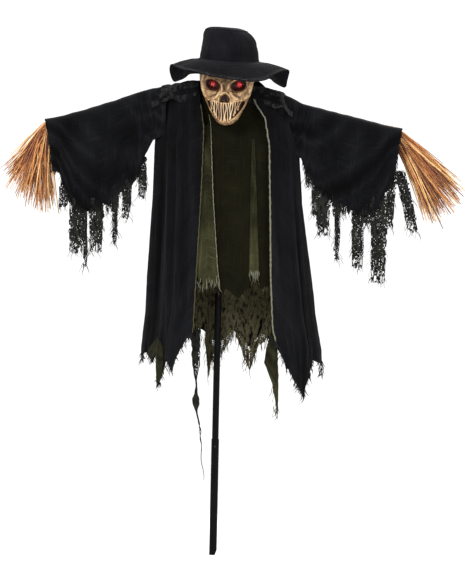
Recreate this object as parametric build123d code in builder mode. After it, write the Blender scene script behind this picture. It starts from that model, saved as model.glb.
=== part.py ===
"""Light-up scarecrow on a sectional ground pole, in millimetres.

The frame: origin at the centre of the pole's lower end, +Z up the pole, +X to the viewer's right and -Y
towards the viewer, so the face looks along -Y.  Every garment is a plain closed solid of the size and place
that the cloth fills.
"""

import math
import os

from build123d import *

os.makedirs("parts", exist_ok=True)

# ---- pole ------------------------------------------------------------------------------------------------
lower_od = 22.2
lower_wall = 1.2
lower_length = 335.0
foot_bevel_height = 14.0
foot_bevel_width = 6.0
upper_od = 19.05
upper_wall = 1.0
slip_gap = 0.375  # radial gap between the two tubes of the locked joint
pole_insert = 70.0
stop_groove_depth = 0.7
stop_groove_half_width = 1.5
middle_top = 820.0
swage_length = 55.0
swage_cone = 2.0
running_gap = 0.08  # radial gap of a joint that turns or slides
face_gap = 0.3
button_radius = 3.0
button_hole_gap = 0.3
button_below_rim = 22.0
button_travel = 3.0
button_proud = 2.6
button_head_radius = 4.2
button_head_height = 1.2
spring_strip = 0.6
spring_width = 6.0
spring_length = 42.0

# ---- shoulder cross, arms and neck: heights are measured from the top of the pole --------------------------
pole_top = 1335.0
cross_bottom = pole_top - 45.0
cross_top = pole_top + 49.0
cross_wall = 5.475
arm_root_z = pole_top + 17.0
arm_slope = 13.5  # degrees below the horizontal
arm_od = 15.9
arm_wall = 1.0
arm_inner_end = 15.0
arm_socket_end = 62.0
arm_socket_wall = 4.0
arm_length = 500.0
arm_travel = 50.0
plug_flange = 3.0
plug_depth = 18.0
neck_radius = 6.35
neck_bottom = pole_top + 31.0
neck_top = pole_top + 111.0
mount_wall = 5.57
mount_plate_z = pole_top + 89.0
mount_plate_size = (180.0, 30.0, 4.0)

# ---- straw hands --------------------------------------------------------------------------------------------
straw_wrap_length = 46.0
straw_wrap_thickness = 5.05
tie_thickness = 1.6
tie_width = 9.0
tie_from_end = 18.0
# side, and from the arm's end to the centre of the tips (out, down), half spread and half depth of the fan
straw_fans = {"left": (-1, 49.3, 221.0, 75.0, 30.0), "right": (1, 136.3, 211.0, 70.0, 30.0)}

# ---- head ---------------------------------------------------------------------------------------------------
head_centre = (16.0, -30.0, pole_top + 30.0)
head_turn = (8.0, 0.0, -5.0)  # pitch forward, roll, yaw to the viewer's left
shell_wall = 3.0
# height above the head's centre, half width, front, back
skull_levels = [
    (-124.0, 20.0, -86.0, -50.0),
    (-98.0, 38.0, -97.0, -10.0),
    (-60.0, 56.0, -98.0, 30.0),
    (-20.0, 70.0, -95.0, 60.0),
    (20.0, 78.0, -92.0, 70.0),
    (60.0, 73.0, -84.0, 68.0),
    (90.0, 50.0, -58.0, 48.0),
    (102.0, 22.0, -26.0, 22.0),
]
shell_split_y = -10.0
jaw_back_y = -44.0
jaw_top_z = 8.0
eye_x = 37.0
eye_z = 0.0
cup_radius = 20.0
cup_wall = 2.0
cup_front_y = -86.0
cup_back_y = -60.0
cup_gap = 0.1
lens_radius = 11.5
lens_wall = 1.6
lens_rise = 9.0
led_radius = 2.5
led_flange = 3.0
led_length = 8.6
nose_width = 24.0
nose_height = 26.0
nose_z = -38.0
wire_radius = 0.8

# ---- battery box on the back of the head ----------------------------------------------------------------------
box_front_y = 73.5
box_wall = 2.0
cell_radius = 5.2
cell_length = 44.0
cell_gap = 0.25
contact_gap = 5.0
cover_thickness = 1.6
cover_lap = 1.5
cell_pitch = 2 * (cell_radius + cell_gap)
cavity_width = 3 * cell_pitch + 1.0
cavity_height = cell_length + contact_gap + 2.0
cover_height = cavity_height + 2 * cover_lap
switch_size = (5.0, 3.0, 4.0)
switch_travel = 4.0
board_size = (20.0, 1.2, 7.0)
box_width = cavity_width + 2 * cover_lap + 2 * box_wall + 1.3
box_depth = 2 * cell_radius + box_wall + cover_thickness + 2.0
cell_z = -6.0
switch_z = cell_z + cover_height / 2 + board_size[2] / 2 + 6.5
box_bottom = cell_z - cover_height / 2 - 1.0
box_top = switch_z + board_size[2] / 2 + 1.0 + box_wall + 1.5
wire_hole_z = (box_bottom + box_top) / 2 + 12.0

# ---- hat ------------------------------------------------------------------------------------------------------
hat_wall = 2.5
hat_base_z = 62.0
hat_centre_y = -10.0
crown_shift = -8.0
# height above the head's centre, half width, half depth
crown_levels = [(62.0, 83.5, 90.0), (100.0, 80.0, 86.0), (138.0, 70.0, 76.0), (154.0, 56.0, 62.0)]
brim_half_width = 170.0
brim_half_depth = 166.0
brim_drop = 34.0

# ---- garments -------------------------------------------------------------------------------------------------
cloth = 3.0
# height, centre x, centre y, half width, half depth of the coat's outside
coat_levels = [
    (pole_top - 735.0, 34.0, 0.0, 262.0, 120.0),
    (pole_top - 635.0, 31.0, 0.0, 244.0, 112.0),
    (pole_top - 315.0, 20.0, 0.0, 218.0, 98.0),
    (pole_top - 155.0, 16.0, 4.0, 212.0, 84.0),
    (pole_top - 35.0, 12.0, 10.0, 200.0, 62.0),
]
front_left_edge = -60.0
front_right_edge = 142.0
side_seam_y = 6.0
back_hem = pole_top - 685.0
armhole = (110.0, 104.0, 134.0)  # size of the opening left in each side of the coat
lapel_inset = cloth + 1.5
tunic_inset = lapel_inset + cloth + 3.5
lapel_span = (-60.0, -18.0)
lapel_bottom = pole_top - 545.0
tunic_span = (-88.0, 168.0)
tunic_bottom = pole_top - 578.0
tunic_top = pole_top - 107.0
gauze_y = 22.0
gauze_span = (-72.0, 160.0)
gauze_bottom = pole_top - 695.0
gauze_top = pole_top - 335.0
yoke_inner_x = 72.0
yoke_outer_x = 166.0
yoke_bottom = pole_top - 34.0
# distance from the pole, half depth, height of the top
yoke_neck = (yoke_inner_x, 45.0, pole_top + 20.0)
yoke_shoulder = (yoke_outer_x, 42.0, pole_top + 11.0)
shoulder_gauze_lift = cloth + 1.0
collar_centre = (12.0, 18.0)
collar_radii = (112.0, 78.0)
collar_height = (pole_top + 10.0, pole_top + 37.0)
collar_over_yoke = yoke_neck[2] + shoulder_gauze_lift + 1.5
collar_front_y = -2.0
sleeve_inner_x = 170.0
sleeve_outer_x = 505.0
# half depth, height of the lower edge, and top above the arm's axis
sleeve_armhole = (41.0, pole_top - 145.0, 13.0)
sleeve_cuff = (46.0, pole_top - 235.0, 20.0)
# distance from the pole and length of each hanging strip, and its width
left_strips = [(225, 120, 24), (262, 170, 30), (299, 228, 16), (353, 250, 44), (411, 250, 44), (452, 90, 16)]
right_strips = [(232, 110, 24), (292, 190, 34), (340, 250, 20), (401, 265, 36), (463, 300, 42), (484, 120, 22)]
# x, length below the hem, and width of each torn point
left_hem_rags = [(-205, 55, 44), (-163, 113, 40), (-118, 60, 36)]
right_hem_rags = [(173, 195, 34), (242, 148, 70), (284, 83, 36)]
# x, top, length and width of the long thread of cloth
long_rag = (-64.0, pole_top - 701.0, 338.0, 18.0)


def place_in_head(shape):
    """Turns a piece built about the head's centre into its place on the figure."""
    return shape.moved(Location(head_centre, head_turn))


def save(shape, name):
    """Labels a finished piece and writes it as a STEP file."""
    shape.label = name
    export_step(shape, f"parts/{name}.step")


def skull_solid(inset):
    """The head's outer form, or the same form inset by a wall."""
    with BuildPart() as form:
        for level, (z, half_width, front, back) in enumerate(skull_levels):
            shift = inset if level == 0 else -inset if level == len(skull_levels) - 1 else 0
            with BuildSketch(Plane.XY.offset(z + shift)):
                with Locations((0, (front + back) / 2)):
                    Ellipse(half_width - inset, (back - front) / 2 - inset)
        loft()
    return form.part


def oval_shell(levels, inset, wall):
    """A standing oval wall through the given levels, its outside inset from them."""
    with BuildPart() as shell:
        for depth, mode in ((inset, Mode.ADD), (inset + wall, Mode.SUBTRACT)):
            for z, cx, cy, half_width, half_depth in levels:
                with BuildSketch(Plane.XY.offset(z)):
                    with Locations((cx, cy)):
                        Ellipse(half_width - depth, half_depth - depth)
            loft(mode=mode)
    return shell.part


def arch_shell(sections, wall):
    """An upside-down U of cloth through (x, half depth, bottom, top) sections, open below and at both ends."""
    with BuildPart() as shell:
        for depth, mode in ((0, Mode.ADD), (wall, Mode.SUBTRACT)):
            for x, half_depth, bottom, top in sections:
                radius = half_depth - depth
                crown = top - depth
                with BuildSketch(Plane.YZ.offset(x)):
                    with BuildLine():
                        Polyline(
                            (-radius, crown - radius),
                            (-radius, bottom),
                            (radius, bottom),
                            (radius, crown - radius),
                        )
                        ThreePointArc((radius, crown - radius), (0, crown), (-radius, crown - radius))
                    make_face()
            loft(mode=mode)
    return shell.part


def arm_plane(side, distance):
    """A plane square to one arm, at a distance from the pole's axis along the arm."""
    slope = math.radians(arm_slope)
    along = Vector(side * math.cos(slope), 0, -math.sin(slope))
    return Plane(origin=Vector(0, 0, arm_root_z) + along * distance, x_dir=(0, 1, 0), z_dir=along)


def levels_between(bottom, top):
    """The coat's levels cut down to one height range, with ends worked out on the way."""

    def at(z):
        for low, high in zip(coat_levels, coat_levels[1:]):
            if low[0] <= z <= high[0]:
                share = (z - low[0]) / (high[0] - low[0])
                return tuple(a + (b - a) * share for a, b in zip(low, high))
        raise ValueError(f"{z} is outside the coat")

    inside = [level for level in coat_levels if bottom < level[0] < top]
    return [at(bottom), *inside, at(top)]


# ---- lower pole: the part that is pushed into the ground ------------------------------------------------------
lower_bore = lower_od / 2 - lower_wall
button_z = lower_length - button_below_rim
groove_z = lower_length - pole_insert - stop_groove_half_width
with BuildPart() as lower_pole:
    with BuildSketch(Plane.XZ):
        with BuildLine():
            Polyline(
                (lower_bore, 0),
                (lower_od / 2, 0),
                (lower_od / 2, groove_z - stop_groove_half_width),
                (lower_od / 2 - stop_groove_depth, groove_z),
                (lower_od / 2, groove_z + stop_groove_half_width),
                (lower_od / 2, lower_length),
                (lower_bore, lower_length),
                (lower_bore, groove_z + stop_groove_half_width),
                (lower_bore - stop_groove_depth, groove_z),
                (lower_bore, groove_z - stop_groove_half_width),
                close=True,
            )
        make_face()
    revolve(axis=Axis.Z)
    with BuildSketch(Plane.XZ) as bevel:
        with BuildLine():
            Polyline(
                (lower_od / 2 - foot_bevel_width, 0),
                (lower_od / 2 + 1, 0),
                (lower_od / 2 + 1, foot_bevel_height + 2),
                (lower_od / 2, foot_bevel_height),
                close=True,
            )
        make_face()
    extrude(amount=lower_od, both=True, mode=Mode.SUBTRACT)
    with Locations(Location((0, -lower_od / 2, button_z), (90, 0, 0))):
        Hole(button_radius + button_hole_gap, depth=lower_od / 2)
save(lower_pole.part, "lower_pole")

# ---- middle pole: slips into the lower pole, and its swaged end carries the upper one ---------------------------
middle_radius = lower_bore - slip_gap
tube_bore = upper_od / 2 - upper_wall
swage_radius = tube_bore - running_gap
swage_bore = swage_radius - upper_wall
with BuildPart() as middle_pole:
    with BuildSketch(Plane.XZ):
        with BuildLine():
            Polyline(
                (middle_radius - upper_wall, lower_length - pole_insert),
                (middle_radius, lower_length - pole_insert),
                (middle_radius, middle_top - swage_cone),
                (swage_radius, middle_top),
                (swage_radius, middle_top + swage_length),
                (swage_bore, middle_top + swage_length),
                (swage_bore, middle_top),
                (middle_radius - upper_wall, middle_top - swage_cone),
                close=True,
            )
        make_face()
    revolve(axis=Axis.Z)
    with Locations(Location((0, -lower_od / 2, button_z), (90, 0, 0))):
        Hole(button_radius + button_hole_gap, depth=lower_od / 2)
save(middle_pole.part, "middle_pole")

# ---- upper pole: turns on the middle one ----------------------------------------------------------------------
with BuildPart(Plane.XY.offset(middle_top + face_gap)) as upper_pole:
    upper_length = pole_top - middle_top - face_gap
    Cylinder(upper_od / 2, upper_length, align=(Align.CENTER, Align.CENTER, Align.MIN))
    Cylinder(tube_bore, upper_length, align=(Align.CENTER, Align.CENTER, Align.MIN), mode=Mode.SUBTRACT)
save(upper_pole.part, "upper_pole")

# ---- snap button and its leaf spring, inside the middle pole ----------------------------------------------------
middle_bore = middle_radius - upper_wall
head_top_y = face_gap - math.sqrt(middle_bore**2 - button_head_radius**2)
spring_back = math.sqrt(middle_bore**2 - (spring_width / 2) ** 2) - 0.05
with BuildPart() as snap_button:
    with BuildSketch(Plane.XZ.offset(-head_top_y - button_head_height)):
        with Locations((0, button_z)):
            Circle(button_head_radius)
    extrude(amount=button_head_height)
    with BuildSketch(Plane.XZ.offset(-head_top_y)):
        with Locations((0, button_z)):
            Circle(button_radius)
    extrude(amount=lower_od / 2 + button_proud + head_top_y)
    fillet(snap_button.faces().sort_by(Axis.Y)[0].edges(), 1.4)
save(snap_button.part, "snap_button")

spring_front = -head_top_y - button_head_height
with BuildPart() as snap_spring:
    with BuildSketch(Plane.YZ) as strip:
        with BuildLine():
            Polyline(
                (-spring_front, button_z - 8),
                (-spring_front, button_z + 8),
                (spring_back, button_z - spring_length),
                (spring_back - spring_strip, button_z - spring_length),
                (-spring_front + spring_strip, button_z + 3.8),
                (-spring_front + spring_strip, button_z - 8),
                close=True,
            )
        make_face()
    extrude(amount=spring_width / 2, both=True)
save(snap_spring.part, "snap_spring")

# ---- shoulder cross: carries the arms, the neck and the garments ------------------------------------------------
arm_radius = arm_od / 2
with BuildPart() as shoulder_cross:
    with BuildSketch(Plane.XY.offset(cross_bottom)):
        Circle(upper_od / 2 + cross_wall)
    extrude(amount=cross_top - cross_bottom)
    for side in (-1, 1):
        with BuildSketch(arm_plane(side, 0)):
            Circle(arm_radius + arm_socket_wall)
        extrude(amount=arm_socket_end)
    with BuildSketch(Plane.XY.offset(cross_bottom)):
        Circle(upper_od / 2 + running_gap)
    extrude(amount=pole_top + face_gap - cross_bottom, mode=Mode.SUBTRACT)
    for side in (-1, 1):
        with BuildSketch(arm_plane(side, arm_inner_end - face_gap)):
            Circle(arm_radius + running_gap)
        extrude(amount=arm_socket_end, mode=Mode.SUBTRACT)
    with BuildSketch(Plane.XY.offset(neck_bottom)):
        Circle(neck_radius + 0.02)
    extrude(amount=cross_top, mode=Mode.SUBTRACT)
save(shoulder_cross.part, "shoulder_cross")

with BuildPart() as neck_post:
    with BuildSketch(Plane.XY.offset(neck_bottom)):
        Circle(neck_radius)
    extrude(amount=neck_top - neck_bottom)
    chamfer(neck_post.faces().sort_by(Axis.Z)[-1].edges(), 1.0)
save(neck_post.part, "neck_post")

# ---- arms and straw hands ---------------------------------------------------------------------------------------
arm_end = arm_inner_end + arm_length
straw_root_radius = arm_radius + straw_wrap_thickness
for hand, (side, out, down, spread, depth) in straw_fans.items():
    with BuildPart() as arm_tube:
        with BuildSketch(arm_plane(side, arm_inner_end)):
            Circle(arm_radius)
            Circle(arm_radius - arm_wall, mode=Mode.SUBTRACT)
        extrude(amount=arm_length)
    save(arm_tube.part, f"{hand}_arm_tube")

    with BuildPart() as arm_plug:
        with BuildSketch(arm_plane(side, arm_end - plug_depth)):
            Circle(arm_radius - arm_wall - 0.05)
        extrude(amount=plug_depth)
        with BuildSketch(arm_plane(side, arm_end)):
            Circle(arm_radius)
        extrude(amount=plug_flange)
    save(arm_plug.part, f"{hand}_arm_plug")

    fan_start = arm_end + plug_flange + face_gap
    root = arm_plane(side, fan_start)
    aim = Vector(side * out, 0, -down)
    fan_end = Plane(origin=root.origin + aim, x_dir=(0, 1, 0), z_dir=aim)
    with BuildPart() as straw_hand:
        with BuildSketch(root):
            Circle(straw_root_radius)
        with BuildSketch(fan_end):
            Ellipse(depth, spread)
        loft()
        with BuildSketch(arm_plane(side, fan_start - straw_wrap_length)):
            Circle(straw_root_radius)
        extrude(amount=straw_wrap_length)
        with BuildSketch(arm_plane(side, fan_start - straw_wrap_length)):
            Circle(arm_radius + 0.1)
        extrude(amount=straw_wrap_length, mode=Mode.SUBTRACT)
    save(straw_hand.part, f"{hand}_straw_hand")

    with BuildPart() as hand_tie:
        with BuildSketch(arm_plane(side, arm_end - tie_from_end)):
            Circle(straw_root_radius + tie_thickness)
            Circle(straw_root_radius, mode=Mode.SUBTRACT)
        extrude(amount=tie_width)
    save(hand_tie.part, f"{hand}_hand_tie")

# ---- head shells -------------------------------------------------------------------------------------------------
skull = skull_solid(0)
skull_inside = skull_solid(shell_wall)
reach = 400.0
with BuildPart() as face_shell:
    add(skull)
    add(skull_inside, mode=Mode.SUBTRACT)
    split(bisect_by=Plane.XZ.offset(-shell_split_y), keep=Keep.TOP)
    with Locations((0, jaw_back_y + reach / 2, jaw_top_z - reach / 2)):
        Box(reach, reach, reach, mode=Mode.SUBTRACT)
    for side in (-1, 1):
        with BuildSketch(Plane.XZ):
            with Locations((side * eye_x, eye_z)):
                Circle(cup_radius + cup_gap)
        extrude(amount=reach, mode=Mode.SUBTRACT)
    with BuildSketch(Plane.XZ):
        with BuildLine():
            Polyline(
                (-nose_width / 2, nose_z - nose_height / 2),
                (0, nose_z + nose_height / 2),
                (nose_width / 2, nose_z - nose_height / 2),
                close=True,
            )
        make_face()
    extrude(amount=reach, mode=Mode.SUBTRACT)
save(place_in_head(face_shell.part), "face_shell")

with BuildPart() as head_back_shell:
    add(skull)
    add(skull_inside, mode=Mode.SUBTRACT)
    split(bisect_by=Plane.XZ.offset(-shell_split_y), keep=Keep.BOTTOM)
    with Locations((0, 0, jaw_top_z - reach / 2)):
        Box(reach, reach, reach, mode=Mode.SUBTRACT)
    for side in (-1, 1):
        with BuildSketch(Plane.XZ.offset(-reach / 8)):
            with Locations((side * 8, wire_hole_z)):
                Circle(2 * wire_radius)
        extrude(amount=-reach / 8, mode=Mode.SUBTRACT)
save(place_in_head(head_back_shell.part), "head_back_shell")

# ---- head mount: turns on the neck post, and is glued inside the shells --------------------------------------------
with BuildPart() as head_mount:
    with Locations((0, 0, mount_plate_z)):
        Box(*mount_plate_size)
    add(place_in_head(skull_solid(shell_wall + 0.2)), mode=Mode.INTERSECT)
    with BuildSketch(Plane.XY.offset(cross_top + face_gap)):
        Circle(neck_radius + running_gap + mount_wall)
    extrude(amount=neck_top - cross_top)
    with BuildSketch(Plane.XY.offset(cross_top + face_gap)):
        Circle(neck_radius + running_gap)
    extrude(amount=neck_top - cross_top, mode=Mode.SUBTRACT)
save(head_mount.part, "head_mount")

# ---- eyes -----------------------------------------------------------------------------------------------------------
for name, side in (("left", -1), ("right", 1)):
    eye = Plane(origin=(side * eye_x, cup_back_y, eye_z), x_dir=(1, 0, 0), z_dir=(0, -1, 0))
    cup_depth = cup_back_y - cup_front_y
    with BuildPart() as eye_cup:
        with BuildSketch(eye):
            Circle(cup_radius)
        extrude(amount=cup_depth)
        with BuildSketch(eye.offset(cup_wall)):
            Circle(cup_radius - cup_wall)
        extrude(amount=cup_depth, mode=Mode.SUBTRACT)
        with BuildSketch(eye):
            Circle(led_radius + 0.1)
        extrude(amount=cup_wall, mode=Mode.SUBTRACT)
    save(place_in_head(eye_cup.part), f"{name}_eye_cup")

    ball = (lens_radius**2 + lens_rise**2) / (2 * lens_rise)
    with BuildPart() as eye_lens:
        with Locations((0, 0, lens_rise - ball)):
            Sphere(ball)
            Sphere(ball - lens_wall, mode=Mode.SUBTRACT)
        split(bisect_by=Plane.XY, keep=Keep.TOP)
    lens = eye.offset(cup_wall + 0.05).location * eye_lens.part
    save(place_in_head(lens), f"{name}_eye_lens")

    with BuildPart() as led:
        with BuildSketch(eye.offset(-1.0)):
            Circle(led_flange)
        extrude(amount=1.0)
        with BuildSketch(eye):
            Circle(led_radius)
        extrude(amount=led_length - 1.0)
        fillet(led.faces().sort_by(Axis.Y)[0].edges(), led_radius - 0.2)
        for leg in (-1.27, 1.27):
            with BuildSketch(eye.offset(-5.0)):
                with Locations((leg, 0)):
                    Rectangle(0.5, 0.5)
            extrude(amount=4.0)
    save(place_in_head(led.part), f"{name}_led")

    # The lead runs from the legs round the neck post to the hole behind the battery box.
    route = [
        (side * eye_x, cup_back_y + 5.0, 0),
        (side * eye_x, -28.0, 4.0),
        (side * 40.0, 6.0, 15.0),
        (side * 36.0, 40.0, 18.0),
        (side * 10.0, box_front_y - 17.5, wire_hole_z),
        (side * 8.0, box_front_y - 0.1, wire_hole_z),
    ]
    runs = [(Vector(b) - Vector(a)) for a, b in zip(route, route[1:])]
    bends = []
    for before, after in zip(runs, runs[1:]):
        half_turn = math.radians(before.get_angle(after)) / 2
        bends.append(0.45 * min(before.length, after.length) / math.tan(half_turn))
    with BuildPart() as led_wire:
        with BuildLine() as path:
            FilletPolyline(*route, radius=bends)
        with BuildSketch(Plane(origin=path.line @ 0, z_dir=path.line % 0)):
            Circle(wire_radius)
        sweep()
    length = sum(edge.length for edge in path.edges())
    print(name, "led wire length", round(length, 1), "bends", [round(b) for b in bends],
          "volume share", round(led_wire.part.volume / (math.pi * wire_radius**2 * length), 3))
    save(place_in_head(led_wire.part), f"{name}_led_wire")

# ---- battery box -------------------------------------------------------------------------------------------------------
box_back_y = box_front_y + box_depth
cell_y = box_front_y + box_wall + cell_radius + 0.2
cell_bottom = cell_z - contact_gap / 2 - cell_length / 2
with BuildPart() as battery_box:
    with Locations((0, box_front_y + box_depth / 2, (box_bottom + box_top) / 2)):
        Box(box_width, box_depth, box_top - box_bottom)
        fillet(battery_box.edges().filter_by(Axis.Y), 3.0)
    with Locations((0, box_back_y, cell_z)):
        Box(cavity_width, 2 * (box_depth - box_wall), cavity_height, mode=Mode.SUBTRACT)
    cover_slot = (cavity_width + 2 * cover_lap, 2 * cover_thickness + 0.2)
    with Locations((0, box_back_y, cell_z + cover_height / 2 + 0.1)):
        Box(*cover_slot, 2 * cover_height, align=(Align.CENTER, Align.CENTER, Align.MAX), mode=Mode.SUBTRACT)
    with Locations((0, box_front_y + box_depth / 2, switch_z)):
        Box(cavity_width, box_depth - 2 * box_wall, board_size[2] + 2, mode=Mode.SUBTRACT)
    with Locations((0, box_back_y, switch_z)):
        Box(switch_size[0] + switch_travel + 0.6, 2 * box_wall + 1, switch_size[2] + 0.4, mode=Mode.SUBTRACT)
    for side in (-1, 1):
        with Locations((side * 8.0, box_front_y, wire_hole_z)):
            Box(2.4, 2 * box_wall + 1, 2.4, mode=Mode.SUBTRACT)
save(place_in_head(battery_box.part), "battery_box")

with BuildPart() as battery_cover:
    with Locations((0, box_back_y - cover_thickness / 2, cell_z)):
        Box(cover_slot[0] - 0.4, cover_thickness, cover_height)
    for rib in range(4):
        with Locations((0, box_back_y + 0.4, cell_z - 16 + 3 * rib)):
            Box(16, 0.8, 1.2)
save(place_in_head(battery_cover.part), "battery_cover")

with BuildPart() as batteries:
    for place in (-1, 0, 1):
        with Locations((place * cell_pitch, cell_y, cell_bottom + cell_length / 2)):
            Cylinder(cell_radius, cell_length)
save(place_in_head(batteries.part), "batteries")

cell_top = cell_bottom + cell_length
with BuildPart() as contact_springs:
    for place in (-1, 0, 1):
        with Locations((place * cell_pitch, cell_y, cell_top + (contact_gap - 0.4) / 2 + 0.1)):
            Cylinder(3.6, contact_gap - 0.4)
            Cylinder(2.8, contact_gap - 0.4, mode=Mode.SUBTRACT)
save(place_in_head(contact_springs.part), "contact_springs")

with BuildPart() as contact_plates:
    for place in (-1, 0, 1):
        with Locations((place * cell_pitch, cell_y, cell_bottom - 0.4)):
            Box(8.0, 8.0, 0.5)
save(place_in_head(contact_plates.part), "contact_plates")

with BuildPart() as circuit_board:
    with Locations((0, box_front_y + box_wall + 2.0, switch_z)):
        Box(*board_size)
save(place_in_head(circuit_board.part), "circuit_board")

with BuildPart() as switch_slider:
    with Locations((-switch_travel / 2, box_back_y - 0.4, switch_z)):
        Box(*switch_size)
    fillet(switch_slider.faces().sort_by(Axis.Y)[-1].edges(), 0.6)
save(place_in_head(switch_slider.part), "switch_slider")

# ---- hat ------------------------------------------------------------------------------------------------------------------
with BuildPart() as hat_crown:
    for inset, mode in ((0, Mode.ADD), (hat_wall, Mode.SUBTRACT)):
        top = crown_levels[-1][0]
        for z, half_width, half_depth in crown_levels:
            lean = crown_shift * (z - hat_base_z) / (top - hat_base_z)
            height = z - inset if z == top else z
            with BuildSketch(Plane.XY.offset(height)):
                with Locations((lean, hat_centre_y)):
                    Ellipse(half_width - inset, half_depth - inset)
        loft(mode=mode)
save(place_in_head(hat_crown.part), "hat_crown")

base_width, base_depth = crown_levels[0][1:]
with BuildPart() as hat_brim:
    for drop, mode in ((0, Mode.ADD), (hat_wall, Mode.SUBTRACT)):
        with BuildSketch(Plane.XY.offset(hat_base_z - brim_drop - drop)):
            with Locations((0, hat_centre_y)):
                Ellipse(brim_half_width, brim_half_depth)
        with BuildSketch(Plane.XY.offset(hat_base_z - drop)):
            with Locations((0, hat_centre_y)):
                Ellipse(base_width, base_depth)
        loft(mode=mode)
    with BuildSketch(Plane.XY.offset(hat_base_z - brim_drop - hat_wall)):
        with Locations((0, hat_centre_y)):
            Ellipse(base_width - hat_wall, base_depth - hat_wall)
    extrude(amount=brim_drop + 2 * hat_wall, mode=Mode.SUBTRACT)
save(place_in_head(hat_brim.part), "hat_brim")

# ---- coat -----------------------------------------------------------------------------------------------------------------
coat_wall = oval_shell(coat_levels, 0, cloth)
coat_bottom, coat_top = coat_levels[0][0], coat_levels[-1][0]
coat_height = coat_top - coat_bottom + 20


def coat_panel(name, low_x, high_x, low_y, high_y, hem=coat_bottom):
    """One panel of the coat between two upright edges, with the armholes left open."""
    with BuildPart() as panel:
        add(coat_wall)
        with Locations(((low_x + high_x) / 2, (low_y + high_y) / 2, hem + coat_height / 2)):
            Box(high_x - low_x, high_y - low_y, coat_height, mode=Mode.INTERSECT)
        for side in (-1, 1):
            width, depth, height = armhole
            with Locations((side * (yoke_outer_x + width / 2 - 30), 0, coat_top - height / 2 + 1)):
                Box(width, depth, height, mode=Mode.SUBTRACT)
    save(panel.part, name)


coat_panel("coat_back", -reach, reach, side_seam_y, reach, back_hem)
coat_panel("coat_left_front", -reach, front_left_edge, -reach, side_seam_y)
coat_panel("coat_right_front", front_right_edge, reach, -reach, side_seam_y)


def front_piece(name, span, bottom, top, inset):
    """A hanging piece seen between the coat's fronts, inside the coat's wall."""
    with BuildPart() as piece:
        add(oval_shell(levels_between(bottom, top), inset, cloth - 0.5))
        with Locations(((span[0] + span[1]) / 2, -reach / 2 - 20, (bottom + top) / 2)):
            Box(span[1] - span[0], reach, top - bottom + 20, mode=Mode.INTERSECT)
    save(piece.part, name)


front_piece("tunic_front", tunic_span, tunic_bottom, tunic_top, tunic_inset)
front_piece("left_lapel", lapel_span, lapel_bottom, tunic_top, lapel_inset)

with BuildPart() as tunic_gauze:
    with Locations((sum(gauze_span) / 2, gauze_y + cloth / 2, (gauze_bottom + gauze_top) / 2)):
        Box(gauze_span[1] - gauze_span[0], cloth, gauze_top - gauze_bottom)
save(tunic_gauze.part, "tunic_gauze")

with BuildPart() as coat_collar:
    bottom, top = collar_height
    for inset, mode in ((0, Mode.ADD), (cloth, Mode.SUBTRACT)):
        with BuildSketch(Plane.XY.offset(bottom)):
            with Locations(collar_centre):
                Ellipse(collar_radii[0] - inset, collar_radii[1] - inset)
        extrude(amount=top - bottom, mode=mode)
    with Locations((0, collar_front_y + reach / 2, (bottom + top) / 2)):
        Box(reach, reach, reach, mode=Mode.INTERSECT)
    for side in (-1, 1):
        with Locations((side * (yoke_inner_x - 3 + reach / 2), 0, collar_over_yoke - reach / 2)):
            Box(reach, 150, reach, mode=Mode.SUBTRACT)
save(coat_collar.part, "coat_collar")

# ---- shoulders and sleeves ------------------------------------------------------------------------------------------------
slope_per_mm = math.tan(math.radians(arm_slope))
for name, side in (("left", -1), ("right", 1)):
    yoke_ends = [(side * x, half_depth, yoke_bottom, top) for x, half_depth, top in (yoke_neck, yoke_shoulder)]
    save(arch_shell(yoke_ends, cloth), f"{name}_coat_yoke")

    gauze_ends = [
        (side * x, half_depth + shoulder_gauze_lift, yoke_bottom, top + shoulder_gauze_lift)
        for x, half_depth, top in (yoke_neck, yoke_shoulder)
    ]
    save(arch_shell(gauze_ends, cloth), f"{name}_shoulder_gauze")

    sleeve_ends = []
    for x, end in ((sleeve_inner_x, sleeve_armhole), (sleeve_outer_x, sleeve_cuff)):
        half_depth, bottom, rise = end
        top = arm_root_z - x * slope_per_mm + rise
        sleeve_ends.append((side * x, half_depth, bottom, top))
    save(arch_shell(sleeve_ends, cloth), f"{name}_sleeve")

    strips = left_strips if side < 0 else right_strips
    with BuildPart() as sleeve_rags:
        for x, length, width in strips:
            share = (x - sleeve_inner_x) / (sleeve_outer_x - sleeve_inner_x)
            top = sleeve_armhole[1] + (sleeve_cuff[1] - sleeve_armhole[1]) * share - 2
            half_depth = sleeve_armhole[0] + (sleeve_cuff[0] - sleeve_armhole[0]) * share
            with Locations((side * x, -half_depth + cloth / 2, top - length / 2 - width * 0.14)):
                Box(width, cloth, length)
    save(sleeve_rags.part, f"{name}_sleeve_rags")

# ---- torn points below the hem ----------------------------------------------------------------------------------------------
_, hem_x, _, hem_half_width, hem_half_depth = coat_levels[0]
for name, rags in (("left", left_hem_rags), ("right", right_hem_rags)):
    with BuildPart() as hem_rags:
        for x, length, width in rags:
            share = min(0.97, abs((x - hem_x) / hem_half_width))
            y = -hem_half_depth * math.sqrt(1 - share**2)
            with BuildSketch(Plane.XZ.offset(-y)):
                with BuildLine():
                    Polyline(
                        (x - width / 2, coat_bottom - 1),
                        (x + width / 2, coat_bottom - 1),
                        (x + 3, coat_bottom - length),
                        (x - 3, coat_bottom - length),
                        close=True,
                    )
                make_face()
            extrude(amount=-cloth)
    save(hem_rags.part, f"{name}_hem_rags")

with BuildPart() as long_rag_piece:
    x, top, length, width = long_rag
    middle, lowest = top - length / 2 - 40, top - length
    with BuildSketch(Plane.XZ.offset(60)):
        with BuildLine():
                Polyline(
                (x - 4, top),
                (x + 4, top),
                (x + width / 2, middle),
                (x + 12, lowest),
                (x + 8, lowest),
                (x - width / 2, middle),
                close=True,
            )
        make_face()
    extrude(amount=-cloth)
save(long_rag_piece.part, "long_rag")
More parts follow.
